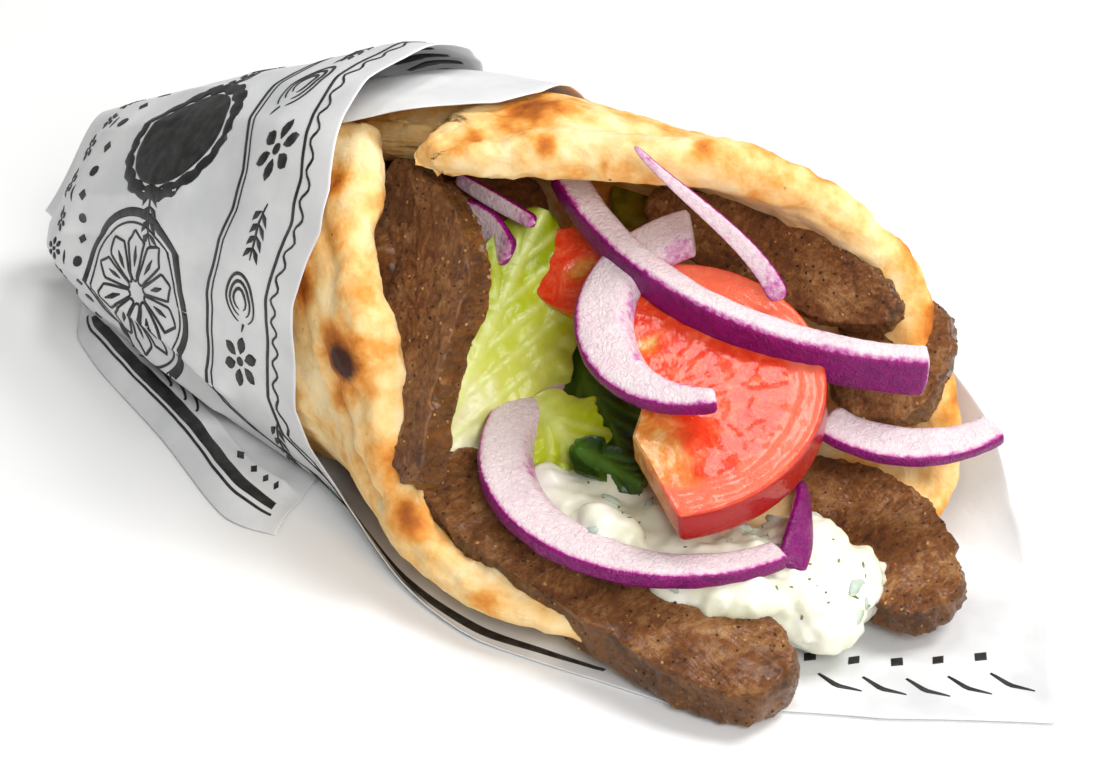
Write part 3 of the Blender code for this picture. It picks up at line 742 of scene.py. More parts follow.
def build_wrapper():
    rows = (np.arange(PAPER_FAR, -35, -1.5), np.arange(-35, -60, -0.4),
        np.arange(-60, PAPER_NEAR, -1.5), (PAPER_NEAR,))
    theta = np.concatenate(rows)[:, None]
    cut = np.concatenate(((0.0, 0.0015), np.linspace(0.008, 0.992, 112), (0.9985, 1.0)))[None]
    start, end = tail_x(theta), line_at(theta, PAPER_RIM)
    x = start + (end - start) * cut
    middle = paper_surface(theta, x)
    verts, faces, at, side = sheet(middle, across(paper_surface, theta, x), SHEET_T)
    ghost = 0.25 * ramp(grain(middle, 15, 21, 2) * 2 - 0.2)
    piece("paper_wrapper", verts, faces, WRAP, "printed_paper", ("paper",),
        ghost=ghost[at] * (side < 0))


FLAP_OUTER = ((-121, -17), (-112, -30), (-100, -36), (-66, -47), (-33, -58.5), (-22, -56))
FLAP_INNER = ((-114, -10), (-100, -12), (-86, -16), (-64, -22), (-46, -28), (-32, -32))


def flap_surface(u, v):
    """The folded end of the sheet: u runs along its edge, v from that edge to the roll."""
    def along(line):
        k = np.linspace(0, 1, len(line))
        return np.stack([curve_at(u, np.stack((k, p), -1)) for p in np.array(line,
            float).T] + [0 * u], -1)

    points = along(FLAP_OUTER) * (1 - v[..., None]) + along(FLAP_INNER) * v[..., None]
    rise = 4.2 * np.sin(np.pi * np.minimum(1.0, v / 0.5)) * (0.4 + 0.6 * u)
    rise = rise * (1 - 0.8 * ramp((u - 0.7) / 0.3)) + 9.0 * ramp((0.16 - u) / 0.16)
    crease = 2.2 * np.exp(-np.abs(v - 0.42 - 0.1 * u) / 0.12) * ramp(u / 0.3)
    rise = rise + crease * ramp((1 - u) / 0.1)
    points[..., 2] = SHEET_T / 2 + rise + 0.8 * np.abs(grain(points, 16, 4, 2)) * ramp(v / 0.1)
    return points


def build_wrapper_fold():
    u = np.concatenate(((0.0, 0.004), np.linspace(0.015, 0.985, 90), (0.996, 1.0)))[:, None]
    v = np.concatenate(((0.0, 0.006), np.linspace(0.02, 0.98, 50), (0.994, 1.0)))[None]
    points = flap_surface(*np.broadcast_arrays(u, v))
    verts, faces, _, _ = sheet(points, grid_normals(points), SHEET_T)
    piece("paper_fold", verts, faces, WRAP, "printed_paper", ghost=np.zeros(len(verts)))


build_wrapper()
build_wrapper_fold()


# ---- printing on the paper ----
INK_T = 0.22                          # drawn thickness of the ink, most of it in the paper
INK_RISE = SHEET_T / 2 + 0.04         # its middle above the middle of the paper
RADIAN = 57.3                         # degrees
RIM_DEGREES = 1.5                     # round the roll for each millimetre of its front edge
FLAP_LONG, FLAP_WIDE = 106.0, 26.0    # millimetres
PRINTED = []


def on_paper(theta, x, side=1.0):
    """Points of ink on the paper's outer side, or its inner with -1, and their normals."""
    normal = across(paper_surface, theta, x) * side
    return paper_surface(theta, x) + normal * INK_RISE, normal


def on_roll(angle, x, turn=0.0, side=1.0):
    """Placer of ink: local (a along the roll, b round it) in mm to points and normals."""
    degrees = RADIAN / (0.5 * curve_at(x, HALF_W) + 0.25 * curve_at(x, ROLL_TOP))
    c, s = math.cos(math.radians(turn)), math.sin(math.radians(turn))

    def put(a, b):
        return on_paper(angle + (a * s + b * c) * degrees, x + a * c - b * s, side)
    return put


def by_rim(a, b):
    """Placer that follows the paper's front edge: a ahead of it, b round the roll."""
    return on_paper(-b * RIM_DEGREES, line_at(-b * RIM_DEGREES, PAPER_RIM) + a)


NEAR_SIDE = tuple((x, angle) for angle, x in PAPER_RIM if -52 < angle < -17)


def by_near_side(x, inside):
    """Placer on the sheet's upper side: at x, so many degrees inside its near edge."""
    return on_paper(line_at(x, NEAR_SIDE) + inside, x, -1.0)


def on_flap(a, b):
    """Placer on the folded end: a along it and b inward from its edge, in mm."""
    u, v = a / FLAP_LONG, b / FLAP_WIDE
    points = flap_surface(u, v)
    normal = unit(np.cross(flap_surface(u + 0.01, v) - points, flap_surface(u, v + 0.01) - points))
    normal = normal * np.sign(normal[..., 2:])
    return points + normal * INK_RISE, normal


def stamp(put, a, b):
    PRINTED.append(sheet(*put(a, b), INK_T)[:2])


def stroke(put, line, width):
    """Line of ink through local points, its width given evenly along it."""
    line = np.array(line, float)
    run = np.concatenate(((0.0,), np.cumsum(np.hypot(*np.diff(line, axis=0).T))))
    t = np.linspace(0, run[-1], max(5, int(run[-1] / 0.9)))
    p = np.stack([np.interp(t, run, line[:, k]) for k in (0, 1)], -1)
    way = unit(np.gradient(p, axis=0))
    w = 0.5 * np.interp(t / run[-1], np.linspace(0, 1, len(width)), width)[:, None]
    lane = np.array((-1, -0.8, 0, 0.8, 1))[None]
    stamp(put, p[:, :1] - way[:, 1:] * w * lane, p[:, 1:] + way[:, :1] * w * lane)


def spot(put, at, wide, high, diamond=False):
    """Filled oval or diamond of ink."""
    g = np.concatenate(((-1, -0.97), np.linspace(-0.9, 0.9, int(9 + max(wide, high))), (0.97, 1)))
    u, v = np.meshgrid(g, g, indexing="ij")
    p, q = u * np.sqrt(1 - v * v / 2), v * np.sqrt(1 - u * u / 2)
    if diamond:
        p, q = 0.5 * (u + v), 0.5 * (u - v)
    stamp(put, at[0] + p * wide, at[1] + q * high)


def circle(radius, squash=1.0, start=0.0, end=359.5, lobes=0, depth=0.0):
    t = np.radians(np.linspace(start, end, 60))
    r = radius * (1 + depth * np.cos(lobes * t))
    return np.stack((r * np.cos(t), r * np.sin(t) * squash), -1)


def spokes(count, turn=0.0):
    """The (cosine, sine) of directions spread evenly round a circle."""
    t = np.arange(count) * 2 * math.pi / count + math.radians(turn)
    return np.stack((np.cos(t), np.sin(t)), -1)


def sprig(put, size):
    stroke(put, ((-size, -0.2 * size), (-0.2 * size, 0.05 * size), (size, 0)), (0.4, 0.7, 0.4))
    for root in np.arange(4) * 0.42 - 0.7:
        for way in (1, -1):
            leaf = np.array(((root, 0), (root + 0.2, way * 0.25), (root + 0.45, way * 0.42)))
            stroke(put, leaf * size, (0.2, 0.24 * size, 0.1))


def blossom(put, size):
    for way in spokes(6):
        stroke(put, (0.3 * size * way, size * way), (0.2, 0.45 * size, 0.5 * size, 0.1))
    spot(put, (0, 0), 0.18 * size, 0.18 * size)


def onion_sign(put, size):
    for radius in (1.0, 0.72, 0.44):
        stroke(put, circle(radius * size, 0.8, 20, 340), (0.3, 0.8, 0.8, 0.3))
    stroke(put, ((size, 0), (1.35 * size, 0.12 * size)), (0.8, 0.3))


def wheel(put, radius):
    """Large line drawing of a cut citrus fruit."""
    stroke(put, circle(radius), (2.2, 1.6, 2.2))
    stroke(put, circle(0.88 * radius), (0.5, 0.5))
    for k, way in enumerate(spokes(10, 18)):
        t = np.radians(36 * k + np.array((3.5, 3.5, 18, 32.5, 32.5, 3.5)))
        r = radius * np.array((0.16, 0.66, 0.8, 0.66, 0.16, 0.16))
        stroke(put, np.stack((r * np.cos(t), r * np.sin(t)), -1), (0.7, 0.7))
        stroke(put, (0.34 * radius * way, 0.6 * radius * way), (0.3, 0.07 * radius, 0.3))


def seal(put, wide, high):
    """Dark oval with a bare line inside its scalloped edge."""
    stroke(put, circle(wide, high / wide, lobes=18, depth=0.035), (2.6, 2.6))
    spot(put, (0, 0), 0.86 * wide, 0.86 * high)


def build_print():
    signs = (sprig, blossom, onion_sign)
    for k, angle in enumerate(range(-52, -234, -22)):
        signs[k % 3](on_roll(angle, float(line_at(angle, PAPER_RIM)) - 17.5, 90 + 12 * (k % 2)),
            5.6)
    low, top = 26, 157                                # the rim's printed stretch
    wave = np.linspace(low, top, 220)
    stroke(by_rim, np.stack((-6.5 + 0.9 * np.sin(wave * 1.3), wave), -1), (0.6, 0.6))
    for ahead, width in ((-8.9, 0.9), (-27.0, 0.45), (-28.6, 0.9)):
        stroke(by_rim, ((ahead, low), (ahead, 60), (ahead, top)), (width, width))
    for turn in (-146, -222, 84):
        seal(on_roll(turn, -77), 15.5, 11.0)
        for side in (1, -1):
            sprig(on_roll(turn + 28 * side, -77, 90 * side), 6.5)
    wheel(on_roll(-84, -82), 18.0)
    wheel(on_roll(140, -84), 14.0)
    for k, angle in enumerate(range(-56, -232, -11)):
        put = on_roll(angle, -104.0)
        spot(put, (0, 0), 1.5, 1.1, diamond=k % 2 == 0)
        if k % 3 == 0:
            stroke(put, ((-5.5, -1.6), (-5.0, 1.6)), (0.3, 0.9, 0.3))
    for angle in range(-60, -230, -16):
        blossom(on_roll(angle, -113.5, 20), 2.6)
    for k, (x, angle) in enumerate(((94, -16), (101, -11), (107.5, -5.5), (113, 1), (118.5, 8))):
        put = on_roll(angle, x, side=-1.0)
        stroke(put, ((-5.0, 0.5), (0.0, 0.0), (4.6, 1.4)), (0.5, 1.1, 0.3))
        spot(put, (-9.5, 3.0), 1.5 - 0.2 * (k % 2), 1.5, diamond=True)
    for k in range(5):
        put = on_roll(-186 - 9 * k, -42 - 1.2 * k, side=-1.0)
        stroke(put, ((-9, -2), (0, 0), (6, -2)), (1.0, 3.4, 1.6))
    stroke(by_near_side, ((-12, 3.0), (12, 2.6), (34, 2.8), (58, 3.0)), (1.0, 2.0, 2.0, 0.8))
    for x in (66, 73, 80):
        stroke(by_near_side, ((x, 2.5), (x + 3, 5.5)), (0.5, 1.1, 0.4))
    stroke(on_flap, ((16, 3), (60, 4.4), (100, 4)), (0.6, 0.6))
    stroke(on_flap, ((18, 5.4), (60, 6.8), (99, 6.4)), (2.4, 3.2, 2.2))
    for radius in (9.0, 6.4, 3.6):
        stroke(on_flap, circle(radius, 0.55, 190, 350) * (1.4, -1) + (52, 8.5), (0.5, 1.1, 0.5))
    for k in range(4):
        spot(on_flap, (78 + 5.5 * k, 11.5), 1.3, 1.3, diamond=True)
    piece("printed_ink", *joined(PRINTED), INK, "printed_paper")


build_print()


# ---- bread ----
# puffed places of the rim: angle, x, radius mm, height mm
PUFFS = ((-130, -26, 8, 0.9), (-93, -11, 6, 2.0), (-84, -8, 9, 1.0), (-68, -2, 8, 1.0),
    (-56, 10, 8, 1.0), (-50, 36, 9, 1.0), (-20, 72, 12, 1.0), (150, 34, 9, 1.0), (128, 48, 10, 1.3),
    (108, 58, 9, 1.4), (88, 66, 10, 1.0), (170, 4, 8, 1.8))
# toasted places: angle, x, radius mm, strength
TOASTED = ((-97, -12, 5, 0.45), (-137, -27, 4, 0.5), (-117, -6, 3.5, 0.5), (-107, -27, 5, 0.45),
    (-108, -12, 3, 0.3), (-71, 7, 4, 0.45), (-61, 13, 4, 0.45), (-76, -14, 3, 0.35),
    (-52, 34, 4, 0.4), (174, -4, 6, 0.6), (168, 2, 5, 0.45), (184, 8, 2.2, 0.5),
    (192, -6, 2.5, 0.45), (160, 33, 2.5, 0.45), (146, 38, 5, 0.4), (130, 45, 4, 0.55),
    (111, 61, 4, 0.45), (94, 71, 6, 0.5), (84, 70, 6, 0.45), (150, 14, 6, 0.3), (53, 74, 6, 0.4),
    (68, 73, 6, 0.45), (38, 80, 6, 0.35))
# creases of the rim: depth mm, half width mm, then (angle, x) points
CREASES = ((1.3, 3.0, (196, -8), (178, 2), (158, 22), (136, 38), (118, 50)),
           (2.0, 2.0, (-88, -18), (-78, -14), (-68, -7), (-60, 3)),
           (1.2, 1.8, (-128, -27), (-116, -18), (-106, -16)),
           (1.0, 2.2, (120, 56), (100, 62), (84, 74)))
# the one burnt place and the browned ring round it: angle, x, radius mm, strength
CHARRED = ((-91, -10.5, 4.2, 1.1),)
CHAR_HALO = ((-91, -10.5, 7.56, 0.5),)


def lumps(verts, table, grow):
    """Sum of round bumps at the (angle, x, radius, height) places of a table."""
    return sum(height * bump(np.linalg.norm(verts - roll(angle, length, grow), axis=1),
        radius) for angle, length, radius, height in table)


def build_flatbread():
    r = PITA_T / 2
    bend = np.array((0.0, 0.6, 1.6, 3.0, 4.6, 6.3))
    theta = np.concatenate((PITA_NEAR + bend, np.arange(PITA_NEAR + 7.4, -64, 1.1),
        np.arange(-64, -42, 0.25), np.arange(-42, 178, 1.1), np.arange(178, PITA_FAR - 7.4, 0.4),
        PITA_FAR - bend[::-1]))[:, None]
    rim = curve_at(theta, PITA_RIM)
    slope = (curve_at(theta + 1, PITA_RIM) - curve_at(theta - 1, PITA_RIM)) / 1.6
    reach = np.minimum(np.sqrt(1 + np.minimum(np.abs(slope), 5.0) ** 2),
        (rim - TONGUE_BACK + 60 * ramp((186 - theta) / 5)) * 0.5 / r)
    turn = r * (1 - np.cos(np.radians(np.linspace(0, 90, 11))))
    visible = np.concatenate((turn, np.arange(r + 0.9, 46, 0.9)))[None] * reach
    back_end = PITA_BACK + (TONGUE_BACK - PITA_BACK) * ramp((theta - TONGUE_FROM) / 9)
    room = rim - back_end
    visible = visible * np.minimum(1.0, room * 0.93 / visible[:, -1:])
    rest = np.concatenate((np.linspace(0, 0.97, 18)[1:], (0.985, 0.995, 1.0)))[None]
    deep = visible[:, -1:] + (room - visible[:, -1:]) * rest
    inward = np.concatenate((visible, deep), axis=1)
    x = rim - inward

    def middle(angle, length):
        tuck = 5.5 * ramp((angle - 155) / 26) * ramp((TONGUE_BACK + 2.5 - length) / 8)
        tuck = tuck * ramp((length + 78) / 32)
        puff = 0.8 * np.sin(angle * 0.09 + length * 0.07) * np.sin(angle * 0.05 - length * 0.05)
        return roll(angle, length, -r - tuck + np.minimum(0.0, puff - 0.8), ease=7.0)

    # the bread's outline as it would lie flat, in mm round the roll and along it
    per_degree = 0.72
    steps = np.linspace(TONGUE_FROM, TONGUE_FROM + 9, 8)
    hem = [(PITA_NEAR, rim[0, 0]), (PITA_NEAR, PITA_BACK),
        *zip(steps, np.interp(steps, theta[:, 0], back_end[:, 0])), (PITA_FAR, TONGUE_BACK),
        (PITA_FAR, rim[-1, 0])]
    flat = np.stack((theta * per_degree + 0 * x, x), -1)
    side = near_line(flat, np.array(hem) * (per_degree, 1))
    thick = PITA_T * rounded(np.minimum(inward / reach, side) / r)
    verts, faces, at, _ = sheet(middle(theta, x), across(middle, theta, x, 0.8, 0.8), thick)
    front = ramp((40 - (inward / reach)[at]) / 14)
    relief = lumps(verts, PUFFS, -r * 0.5)
    for depth, wide, *line in CREASES:
        line = roll(*np.array(line, float).T, -r * 0.2)
        relief = relief - depth * bump(near_line(verts, line), wide)
    relief = relief - 1.0 * ramp(0.3 + grain(verts, 17, 31, 2))
    relief = relief - 0.8 * np.abs(grain(verts, 8, 32, 2)) + 0.2 * grain(verts, 2.4, 33, 2)
    verts = raised(verts, faces, relief * front)
    toast = 0.19 + 0.17 * grain(verts, 18, 41, 2) + 0.11 * grain(verts, 4, 42, 2)
    # painted shade: from about 26 to 40 mm in from its rim the bread gets up to 0.2 more toast,
    # standing in for shade and bounced light inside the roll; the listed toasted places are real
    # toasting
    toast = toast + 0.2 * (1 - front) + lumps(verts, TOASTED, -r * 0.5)
    piece("flatbread", verts, faces, BREAD, "pita_bread", ("pita",),
        toast=toast + lumps(verts, CHAR_HALO, 0), char=lumps(verts, CHARRED, 0))


build_flatbread()


# ---- filling ----
def build_meat(name, node, centre, face, size, seed, outline=(), power=2.4):
    verts, faces, rim = slice_body(centre, face, size, 2.0, power, 5.0, outline)
    relief = 0.35 * grain(verts, 2.0, seed + 51, 3) + 0.6 * grain(verts, 9, seed + 52, 2)
    rough = 1.0 * grain(verts, 4.5, seed + 53, 3) + 0.35 * grain(verts, 1.8, seed + 54, 2)
    verts = raised(verts, faces, relief * (1 - 0.2 * rim) + rough * rim)
    return piece(name, verts, faces, MEAT, "gyro_meat", (node,), rim=rim)


# outlines of the uneven slices: (angle round the slice, factor on its radius)
NEAR_SHAPE = ((0, 0.71), (28, 0.98), (39, 1.13), (63, 1.08), (89, 0.86), (114, 0.76), (149, 0.86),
    (176, 1.0), (192, 1.03), (201, 0.86), (214, 0.68), (238, 0.63), (264, 0.78), (284, 0.83),
    (304, 0.75), (334, 0.67))
RIGHT_SHAPE = ((0, 1.11), (23, 1.08), (53, 0.93), (90, 0.79), (117, 0.66), (157, 0.66), (180, 0.76),
    (200, 0.92), (257, 1.0), (294, 0.9), (313, 1.1), (332, 1.2))
MEATS = [
    build_meat("meat_slice_near", "meat_near", (-3.3, -28.9, 49.7), (-20, 30, 128),
               (72, 36, 6.5), 1, NEAR_SHAPE, 2.0),
    build_meat("meat_slice_front", "meat_front", (49.5, -36.5, 11.8), (30, 76, -30),
               (88, 25, 10), 2, (), 3.2),
    build_meat("meat_slice_right", "meat_right", (77, 14, 12.2), (17, 75, -42),
               (48, 27, 7), 3, RIGHT_SHAPE, 2.0),
    build_meat("meat_slice_back", "meat_back", (40, 25, 54), (14, 37, -9), (58, 16, 7), 4),
    build_meat("meat_slice_far", "meat_far", (64.7, 33, 37.2), (16, 47, 87), (28, 24, 7), 5)]

CORE_START, CORE_END = -87, -10
# the core's size along the roll, as a share of the room inside the bread
CORE_SIZE = ((-87, 0.45), (-84, 0.8), (-76, 1), (-24, 1), (-18, 0.94), (-14, 0.86), (-10, 0.5))


def build_core():
    """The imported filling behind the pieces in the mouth."""
    x = np.linspace(CORE_START, CORE_END, 90)[:, None]
    theta = np.arange(0, 360, 3.0)[None]
    low = 9.0 * ramp((-np.cos(np.radians(theta)) - 0.45) / 0.5)
    ring = roll(theta, x, -(PITA_T + 2.5) - low, ease=7.0)
    centre = np.stack((x, curve_at(x, MIDDLE_Y), 0.5 * curve_at(x, ROLL_TOP) - 2.0), -1)
    verts, faces = tube(centre + (ring - centre) * curve_at(x, CORE_SIZE)[..., None])
    verts = raised(verts, faces, 1.1 * grain(verts, 7, 61, 3) - 0.8)
    piece("packed_filling", verts, faces, MEAT, "packed_filling", ("filling_core",),
        rim=np.zeros(len(verts)))


build_core()


def onion_cut(name, node, centre, face, radius, width, depth, start, end, seed):
    """Arc cut from one onion ring: white flesh, with the purple skin along its outside."""
    span = math.radians(end - start)
    t = np.linspace(0, 1, int(abs(span) * radius / 0.55))[:, None]
    angle = math.radians(start) + span * t
    phi = np.linspace(0, 2 * math.pi, 44, endpoint=False)[None]
    a, b = (-0.5 + 0.52 * boxy(wave, 0.5) for wave in (np.cos(phi), np.sin(phi)))
    a = a - 0.22 * np.clip(-b, 0, 1) * (a < -0.5)
    ends = 0.72 + 0.28 * rounded(np.minimum(t, 1 - t) * abs(span) * radius / 1.2)
    a, b = (-0.5 + (side + 0.5) * ends for side in (a, b))
    w = thirds(t, width)
    r = radius + a * w
    verts, faces = tube(placed(centre, facing(*face), np.cos(angle) * r, np.sin(angle) * r,
        b * thirds(t, depth)))
    wobble = grain(verts, 9, seed + 71, 2)
    b, w = with_poles(b, r.shape, -0.5), with_poles(w, r.shape, 5)
    skin_away = -with_poles(a, r.shape, -0.5) * w      # millimetres in from the skin
    top = ramp((b + 0.16) / 0.1)
    skin = (1 - ramp(skin_away / 1.1)) * (1 - top) * 0.75 + 0.4 * (1 - ramp(skin_away / 1.6)) * top
    skin = skin + 0.16 * (1 - ramp((w - skin_away) / 1.3)) + 0.14 * ramp(wobble)
    verts = raised(verts, faces, 0.22 * wobble + 0.05 * grain(verts, 1.8, seed + 72, 2))
    piece(name, verts, faces, ONION, "red_onion", (node,), skin=skin)


onion_cut("onion_long_cut", "onion_arc", (33.4, 70.1, 68.6), (58, 76), 74.0, (6.5, 5.5, 5.0),
    (4.5, 8.5, 10.5), 184, 257, 1)
onion_cut("onion_front_cut", "onion_ring_front", (43.6, -8.9, 27), (39, 85), 38.8, (8.5, 9.5, 5.5),
    (5.0, 4.0, 3.5), 120, 305, 2)
onion_cut("onion_right_cut", "onion_right", (68.2, 32.8, 44.3), (42, 68), 29.7, (7.0, 7.5, 6.0),
    (3, 3.5, 3), 229, 306, 3)
onion_cut("onion_back_cut", "onion_ring_back", (43, -0.8, 56.8), (9, 68), 25.5, (8.5, 9.5, 4.0),
    (4.5, 4.0, 3.5), 126, 305, 4)


def bezier(points, t):
    points = [np.array(p, float)[None] for p in points]
    while len(points) > 1:
        points = [a + (b - a) * t for a, b in zip(points, points[1:])]
    return points[0]


def onion_strip(name, node, spine, ways, width, thick, skin_side):
    """Thin strip of onion along a curved middle line; ways are its width's directions."""
    t = np.linspace(0, 1, 70)[:, None]
    tangent = unit(bezier(spine, t + 0.01) - bezier(spine, t - 0.01))
    way = bezier((ways[0], ways[-1]), t)
    way = unit(way - tangent * (way * tangent).sum(-1)[:, None])
    phi = np.linspace(0, 2 * math.pi, 28, endpoint=False)[None]
    c, s = np.cos(phi), np.sin(phi)
    ends = 0.3 + 0.7 * rounded(np.minimum(t, 1 - t) * 14)
    a = boxy(c, 0.6) * 0.5 * thirds(t, width) * ends
    b = boxy(s, 0.6) * 0.5 * thick * ends
    verts, faces = tube(placed(bezier(spine, t)[:, None],
        (way[:, None], np.cross(tangent, way)[:, None]), a, b))
    edge = ramp((c - 0.7) / 0.3) + 0.4 * ramp((-c - 0.7) / 0.3)
    tint = 0.15 * ramp(1 - 3 * t) + 0.2 * ramp(3 * t - 2)
    skin = 0.12 + 0.4 * edge + skin_side * ramp(0.5 - 2 * s) + tint
    piece(name, verts, faces, ONION, "red_onion", (node,), skin=with_poles(skin, a.shape, 0.1))


onion_strip("onion_upright_strip", "onion_strip", ((27, -3, 86), (36, -1, 78), (46, 12, 66),
    (52, 12, 55)), ((0.6, 0.7, 0.3), (0.5, 0.7, 0.3)), (1.2, 3.2, 4.4), 1.5, 0.35)
onion_strip("onion_left_sliver", "onion_sliver", ((-20, -3, 62), (-9, -4, 61), (3, -5, 61)),
    ((0.3, 0.3, 0.9),), (3.0, 3.5, 3.0), 2.0, 0.25)
onion_strip("onion_inner_strip", "onion_inner", ((-17, -6, 55), (-9, -6, 56), (0, -9, 54)),
    ((0.2, 0.3, 0.9),), (9.0, 9.0, 6.0), 2.2, 0.1)
onion_strip("onion_under_strip", "onion_under", ((80, -18, 20), (78, -11, 25), (71, -3, 27)),
    ((0.5, -0.4, -0.6),), (6.0, 7.0, 6.0), 2.2, 1.0)


def build_tomato(name, node, centre, face, size, chord, seed, pockets):
    """Tomato slice; pockets are its gel chambers as (p, q, half lengths, turn) in mm."""
    verts, faces, rim = slice_body(centre, face, size, 1.6, 2.0, 5.0, (), chord, 260, 90)
    p, q, _ = ((verts - centre) @ axis for axis in facing(*face))
    away = np.hypot(p, q) / (0.5 * size[0])
    skin = ramp((rim - 0.55) / 0.3) * ramp((away - 0.9) / 0.05)
    wall = ramp((away - 0.74) / 0.06) * (1 - skin) * (1 - ramp(rim * 2))
    gel = np.zeros(len(verts))
    for mid_p, mid_q, long, wide, turn in pockets:
        c, s = math.cos(math.radians(turn)), math.sin(math.radians(turn))
        dp, dq = p - mid_p, q - mid_q
        far = np.hypot((dp * c + dq * s) / long, (dq * c - dp * s) / wide)
        gel = np.maximum(gel, 1 - ramp(far * 1.6 - 0.5 + 0.35 * grain(verts, 5, 85, 2)))
    gel = gel * (1 - 0.4 * wall) * (1 - skin)
    relief = 0.1 * grain(verts, 3.2, seed + 81, 3) - 0.6 * gel
    relief = relief + 0.12 * np.sin(away * 60 + 2 * grain(verts, 9, 86, 1)) * wall
    verts = raised(verts, faces, relief * np.where(rim > 0.6, 0.3, 1.0))
    piece(name, verts, faces, TOMATO, "tomato", (node,), gel=gel, wall=wall * 0.6, skin=skin)


build_tomato("tomato_slice_front", "tomato_front", (45, -12.5, 40.8), (29, 68), (61, 61, 9.0),
    ((216, 0.37), (180, 0.36)), 0, ((0, -15, 17, 8.5, -53), (-6, 9, 4, 3, 60)))
build_tomato("tomato_slice_back", "tomato_back", (9, 3, 48), (10, 45), (24, 18, 7.0), (), 1,
    ((0, 0, 5, 3, 40),))
pepper = slice_body((3.5, 26.3, 53.5), (19, 70, -62), (15, 12, 3), 1.4)
piece("pepper_pickle", *pepper[:2], PEPPER, "pepper_slice", ("pepper_slice",))

# middle of the large leaf: 2 mm down its length and 2.5 mm to its left
LEAF_FACE = (64, 32, 61)
LEAF_AT = placed((6, -15.2, 35), facing(*LEAF_FACE), np.array(-2.0), np.array(2.5))


def build_leaf(name, node, centre, face, size, material, slot, veins, ruffle, green, seed, jag,
        tip=0.0, rib_base=0.0):
    """Leaf with a middle rib, side ribs and a ruffled edge.

    green is the greenness at its base, middle and tip; jag is how uneven its outline is;
    tip narrows that end; rib_base is how far, in mm, the rib starts to one side.
    """
    length, width, thick = size
    s = np.concatenate(((-1, -0.99), np.linspace(-0.975, 0.975, 170), (0.99, 1)))[:, None]
    w = np.concatenate(((-1, -0.985), np.linspace(-0.96, 0.96, 90), (0.985, 1)))[None]
    swell = np.sqrt(np.clip(1 - np.abs(s) ** 2.6, 0.0, 1)) * (1 - tip * ramp(s))
    p = s * length / 2 + 0 * w
    notch = grain(np.stack((p, 8 * np.sign(w) + 0 * p, 0 * p), -1), 4.5, seed + 93, 2)
    q = w * width / 2 * np.maximum(swell, 0.03) * (1 + jag * notch)
    flat = np.stack((p, q, 0 * p), -1)
    lift = ruffle * ramp((np.abs(w) - 0.35) / 0.65) * grain(flat * (1, 0.4, 1), 11, seed + 91, 2)
    lift = lift + 0.14 * ruffle * grain(flat, 5.5, seed + 92, 2)
    off = q - rib_base * (1 - s) / 2
    rib = bump(off, 1.45 - 0.45 * s)
    for start in -0.8 + 1.6 * (np.arange(veins) + 0.5) / veins:
        line = (p - start * length / 2 - np.abs(off) * 1.9) / 2.15
        for way in (1, -1):
            here = np.where(way * off > 0, bump(line, 0.75), 0.0)
            rib = np.maximum(rib, here * 0.75 * (1 - 0.55 * np.abs(w)))
    points = placed(centre, facing(*face), p, q, lift + 0.5 * rib)
    verts, faces, at, _ = sheet(points, grid_normals(points), thick)
    piece(name, verts, faces, material, slot, (node,), rib=rib[at],
        green=thirds((s + 1) / 2 + 0 * w, green)[at])


build_leaf("lettuce_leaf_large", "lettuce_leaf", LEAF_AT, LEAF_FACE, (66, 31, 0.9), LETTUCE,
    "lettuce", 5, 3.6, (-0.2, 0.26, 0.85), 1, 0.05, tip=0.3, rib_base=10.0)
build_leaf("lettuce_leaf_heart", "lettuce_heart", (22, -18, 25.5), (5, 58, -24), (22, 17, 0.9),
    LETTUCE, "lettuce", 3, 3.4, (0.2, 0.45, 0.7), 2, 0.3)
build_leaf("leaf_dark_upper", "leaf_dark", (23, -8, 28), (-4, 58, -28), (30, 18, 0.8), DARK_LEAF,
    "dark_leaf", 4, 2.6, (0.3, 0.5, 0.7), 3, 0.25)
build_leaf("leaf_dark_lower", "leaf_dark_low", (36.5, -20.5, 25.2), (10, 65, -10), (17, 9, 0.8),
    DARK_LEAF, "dark_leaf", 3, 2.6, (0.5, 0.6, 0.7), 4, 0.5)

# lumps of the sauce: middle, half sizes and turn about the vertical
SAUCE_LUMPS = (((34, -24, 17), (38, 15, 7), 0), ((62, -23, 15), (21, 13, 8), 0),
               ((76, -16, 11), (16, 11, 9), 15), ((84, -5, 11), (8.5, 9, 8), 0),
               ((84, -13, 7.5), (8, 8, 6), 0), ((75, -8, 16), (11, 8, 6.5), 30),
               ((48, -33, 21), (8, 6, 5), 0))
SAUCE_VOXEL = 0.8


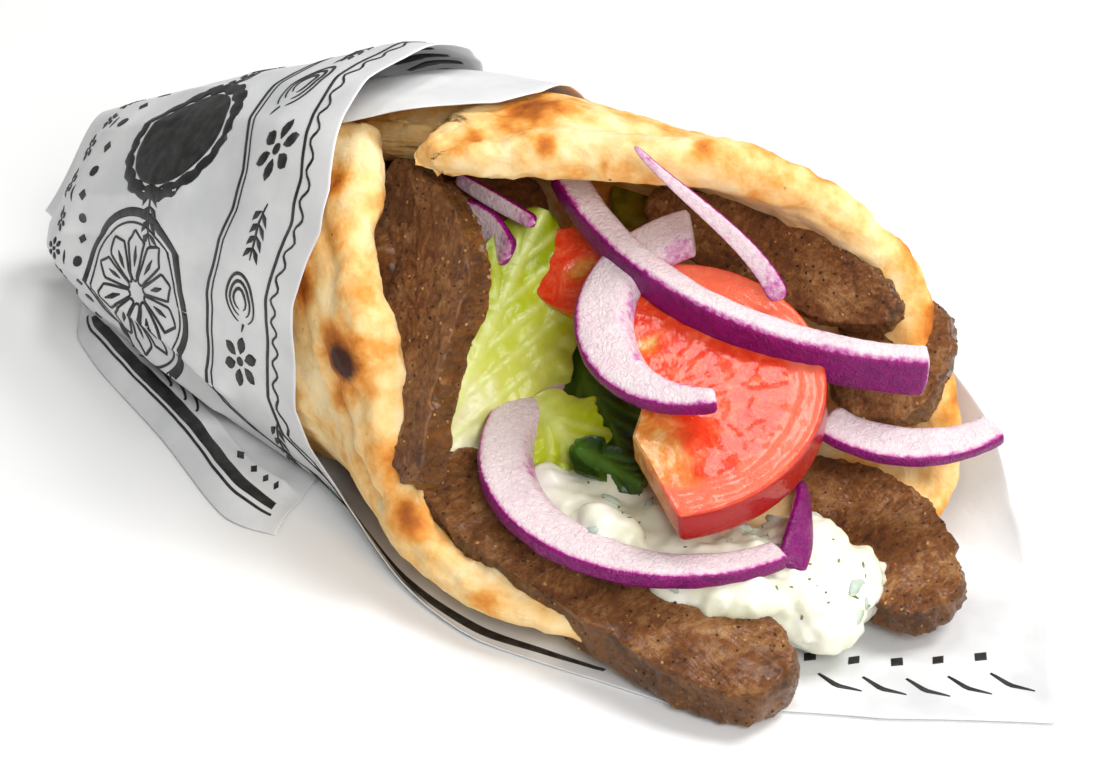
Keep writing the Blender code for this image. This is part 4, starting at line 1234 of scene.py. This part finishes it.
def build_sauce():
    """Spoonful of yogurt sauce: soft lumps run together."""
    lumps_of = [tube(placed(centre, facing(0, 90, turn),
        *np.moveaxis(ball(20, 40) * size, -1, 0))) for centre, size, turn in SAUCE_LUMPS]
    obj = piece("sauce_spoonful", *joined(lumps_of), YOGURT, "yogurt_sauce", ("yogurt_sauce",))
    skin = obj.modifiers.new("one_skin", "REMESH")
    skin.mode = "VOXEL"
    skin.voxel_size = SAUCE_VOXEL * MM
    soft = obj.modifiers.new("soft", "SMOOTH")
    soft.factor = 0.5
    soft.iterations = 8
    mesh, old = evaluated(obj), obj.data
    obj.modifiers.clear()
    obj.data = mesh
    bpy.data.meshes.remove(old)
    mesh.name = "sauce_spoonful"
    p, n = places(mesh)
    front = ramp((p[:, 0] - 52) / 12)
    relief = 1.9 * grain(p, 9, 101, 2) + (0.4 + 0.9 * front) * np.abs(grain(p, 5.5, 102, 2))
    relief = relief - 0.3 + 0.2 * grain(p, 2.5, 103, 2)
    relief = relief * ramp((p[:, 2] - 3) / 4)
    points = (p + n * relief[:, None] + SHIFT) * MM
    mesh.vertices.foreach_set("co", points.astype(np.float32).ravel())
    mesh.shade_smooth()
    mesh.update()
    return obj


sauce = build_sauce()


# ---- bits on the filling ----
points, out = places(sauce.data)
face_up = ramp((out[:, 2] + 0.5) / 0.5) * ramp((points[:, 2] - 4) / 3)
sprinkle("sauce_dill", sauce, face_up * (0.3 + ramp(grain(points, 9, 111, 1))),
    bit_shape("dill", (1.4, 0.5, 0.3), 0.12, 1), 1.6, 7, (0.5, 1.3), -0.03, 3, HERB)
sprinkle("sauce_cucumber", sauce, face_up * ramp(grain(points, 14, 112, 1) * 2),
    bit_shape("cucumber", (5.5, 2.6, 1.6), 0.05, 2), 3.2, 3.5, (0.5, 1.1), -0.1, 5, CUCUMBER)
for k, host in enumerate(MEATS):
    share = ramp((places(host.data)[1][:, 2] + 0.6) / 0.6)
    sprinkle("spice_on_" + host.name, host, share, bit_shape("spice", (0.8, 0.6, 0.4), 0, 3 + k),
        1.4, 7, (0.4, 1.1), 0.02, 7 + k, SPICE)
    sprinkle("fat_on_" + host.name, host, share, bit_shape("fat", (1.0, 0.8, 0.6), 0, 9 + k), 1.5,
        4, (0.3, 1.0), 0.0, 17 + k, FAT)
